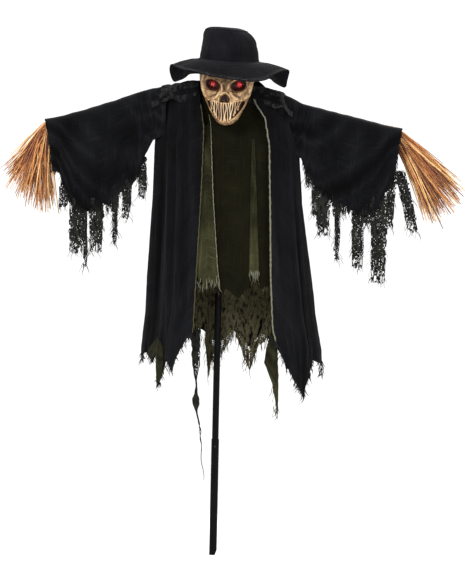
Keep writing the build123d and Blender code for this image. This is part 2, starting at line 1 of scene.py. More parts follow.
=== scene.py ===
"""Garden scarecrow: cloth, net, straw, mask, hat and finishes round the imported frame."""

import math
import random

import bmesh
import bpy
from bpy.props import FloatProperty, FloatVectorProperty, IntProperty, PointerProperty
from mathutils import Matrix, Vector, noise


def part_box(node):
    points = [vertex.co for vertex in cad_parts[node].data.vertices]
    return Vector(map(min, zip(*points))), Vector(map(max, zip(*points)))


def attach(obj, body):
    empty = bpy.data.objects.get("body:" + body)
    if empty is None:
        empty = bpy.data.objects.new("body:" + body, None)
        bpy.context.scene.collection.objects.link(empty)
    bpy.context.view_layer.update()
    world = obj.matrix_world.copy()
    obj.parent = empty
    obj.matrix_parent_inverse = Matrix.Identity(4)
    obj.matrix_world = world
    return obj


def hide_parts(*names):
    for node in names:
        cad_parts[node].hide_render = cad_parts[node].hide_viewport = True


bl_info = {
    "name": "Garden Scarecrow",
    "version": (1, 0, 0),
    "blender": (4, 5, 0),
    "location": "View3D > Sidebar > Scarecrow",
    "description": "Dresses the scarecrow's frame in cloth, net, straw, a bone mask and a soft hat",
    "category": "Object",
}

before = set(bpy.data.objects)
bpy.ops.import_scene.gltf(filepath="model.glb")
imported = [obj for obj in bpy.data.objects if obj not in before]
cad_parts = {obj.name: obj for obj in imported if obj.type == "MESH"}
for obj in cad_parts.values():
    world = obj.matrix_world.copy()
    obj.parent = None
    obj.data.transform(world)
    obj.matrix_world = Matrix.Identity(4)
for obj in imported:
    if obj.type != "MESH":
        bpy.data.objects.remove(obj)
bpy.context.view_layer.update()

# Places taken from the frame, in metres.
POLE_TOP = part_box("upper_pole")[1].z
ARM_ROOT = POLE_TOP + 0.017
ARM_SLOPE = math.radians(13.5)
GAUZE_Y = (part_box("tunic_gauze")[0].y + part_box("tunic_gauze")[1].y) / 2
LONG_RAG_Y = (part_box("long_rag")[0].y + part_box("long_rag")[1].y) / 2
HEAD_CENTRE = Vector((0.016, -0.030, POLE_TOP + 0.030))
HEAD_TURN = Matrix.Rotation(math.radians(8.0), 3, "X") @ Matrix.Rotation(math.radians(-5.0), 3, "Z")

# The camera: lens and sensor in millimetres, the height it sees, the middle of its view and its roll.
LENS, SENSOR = 400.0, 36.0
VIEW_HEIGHT, VIEW_MIDDLE, VIEW_ROLL = 1.677, Vector((0.0408, 0.0, 0.7644)), math.radians(1.2)
# The cuts of the garments, width by length.
LEFT_FRONT_CUT, RIGHT_FRONT_CUT, BACK_CUT = (0.215, 0.78), (0.180, 0.78), (0.56, 0.72)
YOKE_CUT, SHOULDER_NET_CUT, COLLAR_CUT, LINING_CUT = (0.130, 0.130), (0.140, 0.190), (0.30, 0.055), (0.047, 0.085)
TUNIC_CUT, TUNIC_NET_CUT, LONG_RAG_CUT, SLEEVE_CUT = (0.27, 0.57), (0.228, 0.46), (0.024, 0.275), (0.50, 0.36)
# The height at which a hem's x is read, and where a sleeve starts.
HEM_LEVEL, SLEEVE_START = 0.60, 0.162
# The mask: its wall, how square its outline is, and the depth at which its two shells meet.
MASK_WALL, SKULL_POWER, SHELL_SEAM = 0.0026, 2.3, -0.010
# The crown's, the brim's and the collar's cloth, and the thread width of the shoulder net.
CROWN_WALL, BRIM_WALL, COLLAR_WALL, SHOULDER_THREAD = 0.0018, 0.0024, 0.0018, 0.0010
# The lamps: name, place, share of the key light's power, and width.
LAMPS = (("key", (-1.6, -2.6, 2.6), 1.0, 1.4), ("fill", (2.4, -2.2, 1.6), 0.45, 1.6),
         ("back", (0.6, 2.6, 2.4), 0.5, 1.6))
# The straw: how far out it starts and is tied, and the radius of its bundle and of the twine round it.
STRAW_STARTS, STRAW_TIE, BUNDLE, TWINE_RADIUS = (0.462, 0.474), 0.507, 0.0102, 0.0136

# The coat's outline: height, centre x, centre y, half width, half depth.
COAT_LEVELS = (
    (0.400, 0.038, 0.000, 0.262, 0.118), (0.600, 0.038, 0.000, 0.251, 0.114), (0.700, 0.034, 0.000, 0.236, 0.108),
    (1.020, 0.020, 0.000, 0.212, 0.096), (1.180, 0.016, 0.004, 0.207, 0.083), (1.300, 0.012, 0.010, 0.197, 0.061),
    (1.380, 0.010, 0.010, 0.195, 0.050),
)
# The shoulder line as (x, height), and the open edges of the two fronts as (height, x).
SHOULDER_LINE = ((-0.200, 1.340), (-0.175, 1.349), (-0.150, 1.353), (-0.125, 1.356), (-0.105, 1.361), (-0.066, 1.362),
                 (0.012, 1.340), (0.070, 1.352), (0.116, 1.350), (0.175, 1.338), (0.205, 1.318))
LEFT_OPENING = ((0.400, -0.074), (0.630, -0.071), (0.735, -0.067), (0.900, -0.061), (1.067, -0.055), (1.226, -0.052),
                (1.300, -0.062), (1.365, -0.070))
RIGHT_OPENING = ((0.400, 0.182), (0.600, 0.173), (0.655, 0.158), (0.800, 0.149), (1.028, 0.143), (1.184, 0.138),
                 (1.263, 0.124), (1.303, 0.097), (1.365, 0.072))
# Torn hems, left to right, as (x, height).
LEFT_HEM = ((-0.240, 0.600), (-0.224, 0.552), (-0.205, 0.580), (-0.187, 0.551), (-0.178, 0.575), (-0.166, 0.483),
            (-0.150, 0.530), (-0.139, 0.566), (-0.123, 0.524), (-0.110, 0.574), (-0.088, 0.622), (-0.071, 0.634))
RIGHT_HEM = ((0.150, 0.640), (0.173, 0.600), (0.193, 0.556), (0.220, 0.502), (0.247, 0.457), (0.252, 0.500),
             (0.268, 0.540), (0.281, 0.570), (0.292, 0.556), (0.306, 0.520), (0.314, 0.545), (0.322, 0.580))
BACK_HEM = ((-0.240, 0.615), (-0.200, 0.640), (-0.170, 0.598), (-0.140, 0.650), (-0.090, 0.622), (-0.050, 0.655),
            (0.000, 0.610), (0.050, 0.648), (0.090, 0.600), (0.130, 0.640), (0.180, 0.610), (0.220, 0.650),
            (0.260, 0.590), (0.300, 0.630))
GAUZE_HEM = ((-0.072, 0.650), (-0.054, 0.640), (-0.034, 0.600), (-0.029, 0.560), (-0.024, 0.503), (-0.016, 0.560),
             (0.005, 0.568), (0.030, 0.610), (0.052, 0.638), (0.072, 0.590), (0.087, 0.552), (0.095, 0.530),
             (0.108, 0.575), (0.123, 0.606), (0.160, 0.650))
TUNIC_HEM = ((-0.090, 0.790), (-0.060, 0.770), (-0.030, 0.782), (0.000, 0.758), (0.025, 0.766), (0.045, 0.748),
             (0.062, 0.744), (0.080, 0.768), (0.100, 0.792), (0.125, 0.770), (0.150, 0.782), (0.170, 0.775))
# The long rag: height, x and half width.
LONG_RAG = ((0.216, -0.031, 0.0006), (0.291, -0.039, 0.0007), (0.364, -0.044, 0.0008), (0.415, -0.055, 0.0030),
            (0.432, -0.057, 0.0085), (0.449, -0.058, 0.0100), (0.470, -0.058, 0.0045), (0.495, -0.058, 0.0022),
            (0.520, -0.059, 0.0055), (0.549, -0.060, 0.0110), (0.600, -0.061, 0.0125), (0.650, -0.062, 0.0130))
# The sleeves: distance from the pole, top edge, and lower edge of the firm cloth.
LEFT_SLEEVE = ((0.150, 1.352, 1.215), (0.198, 1.344, 1.194), (0.220, 1.337, 1.150), (0.235, 1.333, 1.090),
                (0.280, 1.317, 1.056), (0.310, 1.306, 1.020), (0.345, 1.294, 0.996), (0.380, 1.283, 0.985),
                (0.420, 1.270, 0.992), (0.446, 1.263, 1.036), (0.466, 1.257, 1.094), (0.511, 1.247, 1.108))
RIGHT_SLEEVE = ((0.150, 1.344, 1.185), (0.200, 1.324, 1.172), (0.230, 1.308, 1.152), (0.248, 1.303, 1.110),
                (0.280, 1.296, 1.060), (0.320, 1.287, 1.030), (0.360, 1.277, 1.012), (0.400, 1.268, 0.996),
                (0.440, 1.259, 0.992), (0.466, 1.252, 1.030), (0.484, 1.248, 1.080), (0.521, 1.242, 1.092))
# Rags of net below each sleeve: inner edge, outer edge, how far it swings outwards, and its lowest point.
LEFT_RAGS = ((0.216, 0.244, -0.006, 1.028), (0.256, 0.284, 0.0, 0.966), (0.292, 0.330, 0.0, 0.985),
             (0.291, 0.308, 0.004, 0.893), (0.335, 0.376, 0.0, 0.867), (0.388, 0.434, 0.002, 0.863),
             (0.384, 0.397, -0.006, 0.823), (0.432, 0.462, 0.006, 0.995))
RIGHT_RAGS = ((0.236, 0.256, 0.008, 1.070), (0.262, 0.282, 0.0, 0.987), (0.276, 0.318, 0.0, 0.929),
              (0.322, 0.366, 0.0, 0.985), (0.331, 0.348, 0.0, 0.859), (0.380, 0.417, 0.0, 0.837),
              (0.418, 0.440, 0.0, 0.960), (0.435, 0.483, 0.0, 0.795), (0.480, 0.506, -0.004, 0.957),
              (0.498, 0.532, 0.044, 0.941))
# The soft hat: height, centre x, centre y, half width, half depth of the crown, then the brim's edge by its turn.
CROWN = ((1.408, 0.0195, -0.0455, 0.0850, 0.0895), (1.430, 0.0185, -0.0485, 0.0845, 0.0885),
         (1.460, 0.0180, -0.0525, 0.0808, 0.0860), (1.485, 0.0172, -0.0560, 0.0765, 0.0815),
         (1.500, 0.0135, -0.0580, 0.0715, 0.0770), (1.510, 0.0095, -0.0595, 0.0640, 0.0695),
         (1.517, 0.0065, -0.0605, 0.0540, 0.0600), (1.5212, 0.004, -0.061, 0.0360, 0.0420),
         (1.5224, 0.003, -0.061, 0.0, 0.0))
BRIM_EDGE = ((-90, 0.020, -0.205, 1.3670), (-70, 0.080, -0.198, 1.3625), (-50, 0.122, -0.178, 1.3680),
             (-35, 0.148, -0.150, 1.3860), (-18, 0.178, -0.108, 1.3985), (-5, 0.191, -0.080, 1.3975),
             (8, 0.186, -0.052, 1.3720), (20, 0.180, -0.028, 1.3525), (38, 0.153, 0.024, 1.3660),
             (55, 0.128, 0.066, 1.3820), (90, 0.020, 0.116, 1.3920), (125, -0.086, 0.066, 1.3900),
             (142, -0.110, 0.020, 1.3770), (158, -0.130, -0.022, 1.3665), (168, -0.143, -0.044, 1.3640),
             (180, -0.153, -0.066, 1.3900), (190, -0.150, -0.086, 1.4085), (205, -0.132, -0.118, 1.4015),
             (220, -0.114, -0.146, 1.3950), (234, -0.092, -0.166, 1.3895), (252, -0.036, -0.194, 1.3755),
             (270, 0.020, -0.205, 1.3670))
# The skull in its own axes: height, half width, front.
SKULL = ((-0.1185, 0.009, -0.072), (-0.116, 0.020, -0.080), (-0.110, 0.030, -0.087), (-0.098, 0.040, -0.093),
         (-0.060, 0.060, -0.098), (-0.020, 0.076, -0.096), (0.020, 0.082, -0.092), (0.060, 0.074, -0.084),
         (0.090, 0.050, -0.058), (0.101, 0.022, -0.026))
SKULL_BACK = ((0.008, 0.068), (0.020, 0.070), (0.060, 0.068), (0.090, 0.048), (0.101, 0.022))
EYE_SPOTS = ((-0.037, 0.0), (0.037, 0.0))


# ---- small helpers ----


def between(rows, value):
    """The numbers of a table worked out at a value of its first column."""
    if value <= rows[0][0]:
        return rows[0][1:]
    for low, high in zip(rows, rows[1:]):
        if value <= high[0]:
            share = (value - low[0]) / (high[0] - low[0])
            return tuple(a + (b - a) * share for a, b in zip(low[1:], high[1:]))
    return rows[-1][1:]


def curved(rows, value):
    """As between, but on a smooth curve through the rows."""
    count = len(rows)
    i = max(1, min(count - 1, next((n for n, row in enumerate(rows) if row[0] >= value), count - 1)))
    before, low, high, after = rows[max(0, i - 2)], rows[i - 1], rows[i], rows[min(count - 1, i + 1)]
    t = min(1.0, max(0.0, (value - low[0]) / (high[0] - low[0])))
    return tuple(
        0.5 * (2 * b + (c - a) * t + (2 * a - 5 * b + 4 * c - d) * t * t + (3 * b - a - 3 * c + d) * t ** 3)
        for a, b, c, d in zip(before[1:], low[1:], high[1:], after[1:])
    )


def ease(low, high, value):
    """0 below low, 1 above high, and smooth between."""
    share = min(1.0, max(0.0, (value - low) / (high - low)))
    return share * share * (3 - 2 * share)


def bump(distance):
    """1 at 0, falling smoothly to 0 at 1."""
    return (1 - min(1.0, distance) ** 2) ** 2


def bell(distance, width):
    """1 at 0, falling on a bell curve."""
    return math.exp(-((distance / width) ** 2))


def ripple(x, y=0.0, z=0.0):
    """Smooth noise from about -1 to 1."""
    return noise.noise(Vector((x, y, z)), noise_basis="PERLIN_ORIGINAL")


def crease(x, y=0.0, z=0.0):
    """Noise with sharp ridges, from 0 to 1."""
    return 1.0 - min(1.0, abs(ripple(x, y, z)) * 2.2)


def new_piece(bm, name, body, material, replaces=(), smooth=True):
    """Makes a finished bmesh an object that rides on a body and stands for the CAD nodes named."""
    mesh = bpy.data.meshes.new(name)
    bm.to_mesh(mesh)
    bm.free()
    for polygon in mesh.polygons:
        polygon.use_smooth = smooth
    mesh.materials.append(material)
    piece = bpy.data.objects.new(name, mesh)
    bpy.context.scene.collection.objects.link(piece)
    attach(piece, body)
    if replaces:
        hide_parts(*replaces)
    return piece


def cloth_grid(columns, rows, width, length, place, shade=None):
    """A grid laid out by place(across, down), both from 0 to 1, with its UV map in metres of cloth.
    shade(across, down) is how high a fold stands there, from about -1 to 1, for painted shade in the fold valleys and
    painted highlights on the ridges."""
    bm = bmesh.new()
    fold = bm.verts.layers.float.new("fold")
    uv = bm.loops.layers.uv.new("cloth")
    bmesh.ops.create_grid(bm, x_segments=columns, y_segments=rows, size=0.5, calc_uvs=True)
    for face in bm.faces:
        for loop in face.loops:
            across, down = loop.vert.co.x + 0.5, 0.5 - loop.vert.co.y
            loop[uv].uv = (across * width, down * length)
    for vert in bm.verts:
        across, down = vert.co.x + 0.5, 0.5 - vert.co.y
        vert.co = place(across, down)
        vert[fold] = shade(across, down) if shade else 0.0
    return bm


def thicken(piece, thickness, offset=0.0):
    """Gives a sheet its real thickness: half on each side at offset 0, all inside at -1."""
    solid = piece.modifiers.new("thickness", "SOLIDIFY")
    solid.thickness = thickness
    solid.offset = offset
    return piece


def strip_mesh(segments):
    """A closed four-sided strip, one unit each way and cut along Z, that every strand is a copy of."""
    bm = bmesh.new()
    bmesh.ops.create_cube(bm, size=1.0)
    along = [e for e in bm.edges if abs(e.verts[0].co.z - e.verts[1].co.z) > 0.5]
    bmesh.ops.subdivide_edges(bm, edges=along, cuts=segments - 1, use_grid_fill=True)
    for vert in bm.verts:  # a flat diamond instead of a square
        x, y = vert.co.x, vert.co.y
        vert.co.x, vert.co.y = (x - y), (x + y)
    mesh = bpy.data.meshes.new("strip")
    bm.to_mesh(mesh)
    bm.free()
    return mesh


class Strands:
    """Flat strips bent along lines and gathered into one piece."""

    def __init__(self, segments):
        self.bm, self.template = bmesh.new(), strip_mesh(segments)

    def cut(self, segments):
        """Sets how finely the strips that follow are cut."""
        bpy.data.meshes.remove(self.template)
        self.template = strip_mesh(segments)

    def add(self, line, side, width, thickness, tone, taper=0.6):
        """Bends one strip along line(t), t from 0 to 1, with its flat face square to side."""
        tones = self.bm.verts.layers.float.get("tone") or self.bm.verts.layers.float.new("tone")
        before = len(self.bm.verts)
        self.bm.from_mesh(self.template)
        self.bm.verts.ensure_lookup_table()
        for vert in self.bm.verts[before:]:
            t = vert.co.z + 0.5
            along = (line(min(1.0, t + 0.02)) - line(max(0.0, t - 0.02))).normalized()
            across = along.cross(side).normalized()
            up = along.cross(across)
            narrow = 1.0 - taper * abs(2 * t - 1) ** 3
            x, y = vert.co.x, vert.co.y
            vert.co = line(t) + across * (x * width * narrow) + up * (y * thickness * narrow)
            vert[tones] = tone

    def finish(self, name, body, material, replaces=()):
        """Makes the strips a piece."""
        bpy.data.meshes.remove(self.template)
        return new_piece(self.bm, name, body, material, replaces)


# ---- materials ----


class Shader:
    """A node material in the making: a principled surface and short ways to add nodes to it."""

    def __init__(self, name, roughness, metallic=0.0, sheen=0.0, coat=0.0, specular=0.5):
        self.material = bpy.data.materials.new(name)
        self.material.use_nodes = True
        self.tree = self.material.node_tree
        self.surface = self.tree.nodes["Principled BSDF"]
        for name, value in (("Roughness", roughness), ("Metallic", metallic), ("Sheen Weight", sheen),
                            ("Coat Weight", coat), ("Specular IOR Level", specular)):
            self.surface.inputs[name].default_value = value

    def put(self, socket, value):
        """Links an output to a socket, or sets the socket to a number, vector or colour."""
        if isinstance(value, bpy.types.NodeSocket):
            self.tree.links.new(value, socket)
        else:
            socket.default_value = (*value, 1.0) if socket.type == "RGBA" else value

    def add(self, kind, inputs=(), **settings):
        node = self.tree.nodes.new(kind)
        for name, value in settings.items():
            setattr(node, name, value)
        for name, value in dict(inputs).items():
            self.put(node.inputs[name], value)
        return node

    def link(self, output, name):
        """Links an output to an input of the surface."""
        self.tree.links.new(output, self.surface.inputs[name])

    def cloth_place(self):
        """A place on the flat cloth, in metres."""
        return self.add("ShaderNodeUVMap", uv_map="cloth").outputs["UV"]

    def object_place(self):
        """A place in the piece, in metres."""
        return self.add("ShaderNodeTexCoord").outputs["Object"]

    def scaled(self, place, scale, rotation=(0, 0, 0)):
        return self.add("ShaderNodeMapping", {"Vector": place, "Scale": scale, "Rotation": rotation}).outputs[0]

    def noise(self, place, scale, detail=3.0, roughness=0.55):
        inputs = {"Vector": place, "Scale": scale, "Detail": detail, "Roughness": roughness}
        return self.add("ShaderNodeTexNoise", inputs).outputs["Fac"]

    def wave(self, place, scale, direction="X", distortion=0.0):
        node = self.add("ShaderNodeTexWave", {"Vector": place, "Scale": scale, "Distortion": distortion,
                                              "Detail": 1.0, "Detail Scale": 2.0}, bands_direction=direction)
        return node.outputs["Fac"]

    def math(self, operation, a, b=0.0):
        node = self.add("ShaderNodeMath", operation=operation)
        for socket, value in zip(node.inputs, (a, b)):
            self.put(socket, value)
        return node.outputs[0]

    def mix(self, factor, a, b, blend="MIX"):
        node = self.add("ShaderNodeMix", data_type="RGBA", blend_type=blend)
        for index, value in ((0, factor), (6, a), (7, b)):  # the sockets that colours use
            self.put(node.inputs[index], value)
        return node.outputs[2]

    def ramp(self, factor, *stops):
        node = self.add("ShaderNodeValToRGB", {"Fac": factor})
        band = node.color_ramp
        while len(band.elements) < len(stops):
            band.elements.new(0.5)
        for element, (place, colour) in zip(band.elements, stops):
            element.position = place
            element.color = (*colour, 1.0)
        return node.outputs["Color"]

    def attribute(self, name):
        return self.add("ShaderNodeAttribute", attribute_name=name).outputs["Fac"]

    def bumped(self, height, distance, strength=1.0):
        """Gives the surface a fine relief."""
        inputs = {"Height": height, "Distance": distance, "Strength": strength}
        self.link(self.add("ShaderNodeBump", inputs).outputs["Normal"], "Normal")


def grey(value):
    """A grey of this brightness."""
    return (value, value, value)


def times(colour, share):
    """A colour made darker or lighter."""
    return tuple(c * share for c in colour)


def shades(colour, dark, light):
    """A darker colour, the colour itself and a lighter one."""
    return times(colour, dark), tuple(colour), times(colour, light)


def once(name, make, *settings, **more):
    """The material of this name, made the first time it is asked for."""
    return bpy.data.materials.get(name) or make(name, *settings, **more)


def woven(name, deep, thread, worn, pitch, sheen=0.03, bump_depth=0.0005, patch=0.4):
    """Plain-woven cloth: crossing threads, thick and thin yarn, broad worn patches, and painted shade and highlights
    from the fold attribute.
    """
    s = Shader(name, 0.95, sheen=sheen, specular=0.03)
    place = s.cloth_place()
    warp, weft = (s.wave(place, 1.0 / pitch / 6.28, way, 0.6) for way in "XY")
    weave = s.math("MULTIPLY", warp, weft)
    slub_down = s.noise(s.scaled(place, (1 / pitch / 2, 12.0, 1.0)), 1.0, 2.0)
    slub_across = s.noise(s.scaled(place, (12.0, 1 / pitch / 2, 1.0)), 1.0, 2.0)
    slub = s.math("MAXIMUM", slub_down, slub_across)
    broad = s.noise(place, 9.0, 4.0)
    cloth = s.ramp(slub, (0.42, deep), (0.60, thread), (0.78, worn))
    cloth = s.mix(s.math("MULTIPLY", weave, 0.55), cloth, deep)
    cloth = s.mix(s.ramp(broad, (0.4, grey(0.0)), (0.75, grey(patch))), cloth, worn)
    # painted light: the fold attribute scales the cloth's colour, painting shade where it is low and highlights where
    # it is high
    high = s.math("ADD", s.math("MULTIPLY", s.attribute("fold"), 0.55), 0.42)
    light = s.ramp(high, (0.10, grey(0.28)), (0.45, grey(0.85)), (0.95, grey(2.3)))
    s.link(s.mix(1.0, cloth, light, "MULTIPLY"), "Base Color")
    height = s.math("ADD", s.math("MULTIPLY", weave, 0.7), s.math("MULTIPLY", slub, 0.6))
    s.bumped(height, bump_depth)
    return s.material


def threads(name, dark, mid, light, speckle=0.5, dashes=0.0):
    """Loose twisted threads of net or fringe, each of its own tone, with pale upright dashes where asked."""
    s = Shader(name, 0.95, sheen=0.02, specular=0.06)
    place = s.object_place()
    tone = s.math("ADD", s.attribute("tone"), s.math("MULTIPLY", s.noise(place, 160.0, 2.0), speckle))
    tone = s.math("ADD", tone, s.math("MULTIPLY", s.noise(place, 24.0, 2.0), 0.35))
    if dashes:
        streak = s.noise(s.scaled(place, (380.0, 380.0, 105.0)), 1.0, 1.0)
        tone = s.math("ADD", tone, s.math("MULTIPLY", s.ramp(streak, (0.56, grey(0.0)), (0.66, grey(1.0))), dashes))
    s.link(s.ramp(tone, (0.35, dark), (0.72, mid), (1.0, light)), "Base Color")
    s.bumped(s.noise(place, 900.0, 1.0), 0.0003)
    return s.material


def coated_metal(name, colour, roughness=0.42):
    """Black powder coat over steel tube, with a fine orange-peel and dust."""
    s = Shader(name, roughness, specular=0.04)
    place = s.object_place()
    dust = s.noise(place, 30.0, 5.0)
    s.link(s.mix(s.ramp(dust, (0.45, grey(0.0)), (0.8, grey(0.35))), colour, times(colour, 2.5)), "Base Color")
    s.link(s.ramp(dust, (0.3, grey(roughness - 0.08)), (0.8, grey(roughness + 0.2))), "Roughness")
    s.bumped(s.noise(place, 1400.0, 1.0), 0.0001, 0.5)
    return s.material


def bare_metal(name, colour, roughness=0.3):
    """Plated or bare steel with fine scratches."""
    s = Shader(name, roughness, metallic=1.0)
    place = s.object_place()
    scratch = s.noise(s.scaled(place, (40.0, 40.0, 900.0)), 1.0, 2.0)
    s.link(s.mix(scratch, colour, times(colour, 0.7)), "Base Color")
    s.link(s.ramp(scratch, (0.3, grey(roughness)), (0.8, grey(roughness + 0.2))), "Roughness")
    s.bumped(scratch, 0.00005)
    return s.material


def plastic(name, colour, roughness=0.5, grain=700.0):
    """Moulded plastic with a fine texture and slight colour drift."""
    s = Shader(name, roughness, specular=0.45)
    place = s.object_place()
    drift = s.noise(place, 20.0, 3.0)
    s.link(s.mix(drift, times(colour, 0.8), tuple(min(1.0, c) for c in times(colour, 1.3))), "Base Color")
    s.bumped(s.noise(place, grain, 1.0), 0.00008, 0.6)
    return s.material


# ---- garments: where their surfaces lie ----


def coat_surface(turn, z, out=0.0):
    """A point of the coat at a turn in radians: 0 on the left side, half pi in front, pi on the right side."""
    cx, cy, hw, hd = between(COAT_LEVELS, z)
    x = cx - (hw + out) * math.cos(turn)
    ridge = between(SHOULDER_LINE, x)[0]
    cap = math.sqrt(max(0.0, 1 - max(0.0, (z - ridge + 0.085) / 0.085) ** 2)) if z < ridge else 0.0
    depth = math.copysign(abs(math.sin(turn)) ** 0.85, math.sin(turn))
    return Vector((x, cy - (hd * cap + out * min(1.0, cap * 2)) * depth, z))


def coat_turn(x, z):
    """The turn at which the coat's front has this x."""
    cx, _, hw, _ = between(COAT_LEVELS, z)
    return math.acos(max(-1.0, min(1.0, (cx - x) / hw)))


def coat_fold(turn, z, depth):
    """How far the hanging cloth stands out in long folds that grow towards the hem."""
    fall = 1 - ease(0.70, 1.30, z)
    long_fold = ripple(turn * 3.1, z * 0.9, 4.2) + 0.55 * ripple(turn * 7.3, z * 1.6, 9.7)
    sharp = (crease(turn * 4.3 + z * 0.35, z * 0.8, 2.3) - 0.5) * 0.55
    fine = 0.10 * ripple(turn * 26, z * 9, 1.7) + 0.05 * ripple(turn * 70, z * 38, 6.1)
    return depth * ((0.25 + 0.85 * fall) * (long_fold + sharp) + fine)


def torn(x, size, seed):
    """A torn hem's small steps and spikes."""
    return size * (ripple(x * 55, seed) + 0.6 * ripple(x * 170, seed + 3) + 0.5 * abs(ripple(x * 420, seed + 7)))


def panel(side, sizes, from_turn, to_turn, hem, flat, opening=None, columns=120, rows=230):
    """One hanging panel of the coat, from the shoulder line to its torn hem."""

    def at(u, z):
        edge = coat_turn(between(opening, z)[0], z) if opening else to_turn
        return from_turn + (edge - from_turn) * u

    def place(u, v):
        head = coat_surface(at(u, 1.30), 1.30)
        high = between(SHOULDER_LINE, head.x)[0] - 0.001
        low_x = coat_surface(at(u, HEM_LEVEL), HEM_LEVEL).x
        low = between(hem, low_x)[0] + torn(low_x, 0.006, side)
        z = high + (low - high) * v
        turn = at(u, z)
        edge_rest = 1 - 0.75 * (ease(0.93, 1.0, u) if opening else 0.0)
        out = coat_fold(turn, z, sizes.fold_depth) * edge_rest
        point = coat_surface(turn, z, out)
        point.x += 0.003 * ripple(z * 9, side) * (ease(0.8, 1.0, u) if opening else 0.0)
        return point

    # painted light: the height of the folds, painted as shade in the valleys and highlights on the ridges
    def shade(u, v):
        z = 1.34 + (HEM_LEVEL - 0.05 - 1.34) * v
        return coat_fold(at(u, z), z, 1.0) * 1.1

    return cloth_grid(columns, rows, *flat, place, shade)


def cut_area(bm):
    """The flat area of the cloth left in a grid, from its UV map in metres."""
    uv = bm.loops.layers.uv["cloth"]
    total = 0.0
    for face in bm.faces:
        points = [loop[uv].uv for loop in face.loops]
        total += abs(sum(a.x * b.y - b.x * a.y for a, b in zip(points, points[1:] + points[:1]))) / 2
    return total


def hang_sheet(bm, name, body, material, flat, replaces=(), thickness=0.001):
    """Finishes a sheet of cloth: its piece and its thickness. It works out a cut size but keeps it nowhere."""
    area = cut_area(bm)
    piece = thicken(new_piece(bm, name, body, material, replaces), thickness)
    width, length = flat
    if area > width * length:
        length = area / width * 1.0005


def open_net(bm, pitch, thread, seed, closed=0.0, wear=None):
    """Turns a grid into loose net: cells worn away where wear(middle) says so go, a share of the others stays closed,
    and the rest open round their threads."""
    tones = bm.verts.layers.float.new("tone")
    for vert in bm.verts:
        vert[tones] = 0.5 + 0.6 * ripple(vert.co.x * 160, vert.co.z * 60, seed)
    rng = random.Random(seed)
    if wear:
        bmesh.ops.delete(bm, geom=[f for f in bm.faces if wear(f.calc_center_median())], context="FACES")
    opened = ([], [], [])
    for face in bm.faces:
        c = face.calc_center_median()
        pick = rng.random() + ripple(c.x * 45, c.z * 30, seed + 5) * 0.5
        if pick >= closed:
            opened[0 if pick < 0.35 else 1 if pick < 0.75 else 2].append(face)
    for faces, share in zip(opened, (0.50, 0.38, 0.28)):
        bmesh.ops.inset_individual(bm, faces=faces, thickness=thread * share * 1.6, use_even_offset=True,
                                   use_interpolate=True)
    bmesh.ops.delete(bm, geom=[f for faces in opened for f in faces], context="FACES_ONLY")
    bmesh.ops.delete(bm, geom=[v for v in bm.verts if not v.link_faces], context="VERTS")
    jitter = pitch * 0.16
    for vert in bm.verts:
        c = vert.co
        c += jitter * Vector((ripple(c.x * 260, c.z * 260, seed), ripple(c.x * 90, c.z * 90, seed + 2),
                              ripple(c.x * 260, c.z * 260, seed + 9)))


def fringe(name, body, material, roots, length, width, seed, spread=0.35):
    """Loose threads that hang from a torn edge, as one piece."""
    rng = random.Random(seed)
    strands = Strands(5)
    for root in roots:
        reach = length * rng.uniform(0.35, 1.25)
        lean = Vector((rng.uniform(-spread, spread), rng.uniform(-spread, spread) * 0.5, -1.0)).normalized()
        curl = Vector((rng.uniform(-1, 1), rng.uniform(-0.5, 0.5), rng.uniform(-0.3, 0.3))) * reach * 0.22
        start = root + Vector((rng.uniform(-0.002, 0.002), 0, 0.004))

        def line(t, start=start, lean=lean, curl=curl, reach=reach):
            return start + lean * (reach * t) + curl * math.sin(t * 3.6) * t

        strands.add(line, Vector((rng.uniform(-0.4, 0.4), -1, 0)), width * rng.uniform(0.6, 1.3), width * 0.5,
                    rng.uniform(0.15, 0.95))
    return strands.finish(name, body, material)


def face_up(bm):
    """Turns a cloth over if its faces mostly look down."""
    bm.normal_update()
    if sum(f.normal.z * f.calc_area() for f in bm.faces) < 0:
        bmesh.ops.reverse_faces(bm, faces=bm.faces)


# ---- the sizes and colours that a user would change ----


def colour(name, description, default):
    """A colour that a user can change."""
    return FloatVectorProperty(name=name, description=description, subtype="COLOR", size=3, min=0, max=1,
                               default=default)


def size(name, description, default):
    """A length that a user can change."""
    return FloatProperty(name=name, description=description, unit="LENGTH", min=0.0, default=default, precision=4)


class ScarecrowCloth(bpy.types.PropertyGroup):
    """Sizes and colours of the coat, tunic and sleeves."""

    thickness: size("Cloth thickness", "Thickness of the woven cotton", 0.001)
    fold_depth: size("Fold depth", "How deep the long folds of the coat hang", 0.0125)
    fringe_length: size("Fringe length", "Usual length of the loose threads at a torn hem", 0.020)
    coat_colour: colour("Coat colour", "Black of the coat's yarn", (0.0030, 0.0031, 0.0037))
    tunic_colour: colour("Tunic colour", "Dark olive of the tunic", (0.0052, 0.0048, 0.0018))
    facing_colour: colour("Facing colour", "Pale olive of the torn facing", (0.021, 0.021, 0.0092))


class ScarecrowNet(bpy.types.PropertyGroup):
    """Sizes and colours of the loose net."""

    mesh_width: size("Mesh width", "Distance between the net's upright threads", 0.0037)
    mesh_drop: size("Mesh drop", "Distance between the net's cross threads", 0.0050)
    thread: size("Thread width", "Width of one thread of net", 0.0017)
    black: colour("Sleeve net colour", "Black of the net below the sleeves", (0.0030, 0.0030, 0.0026))
    olive: colour("Tunic net colour", "Olive of the net behind the pole", (0.0062, 0.0054, 0.0029))


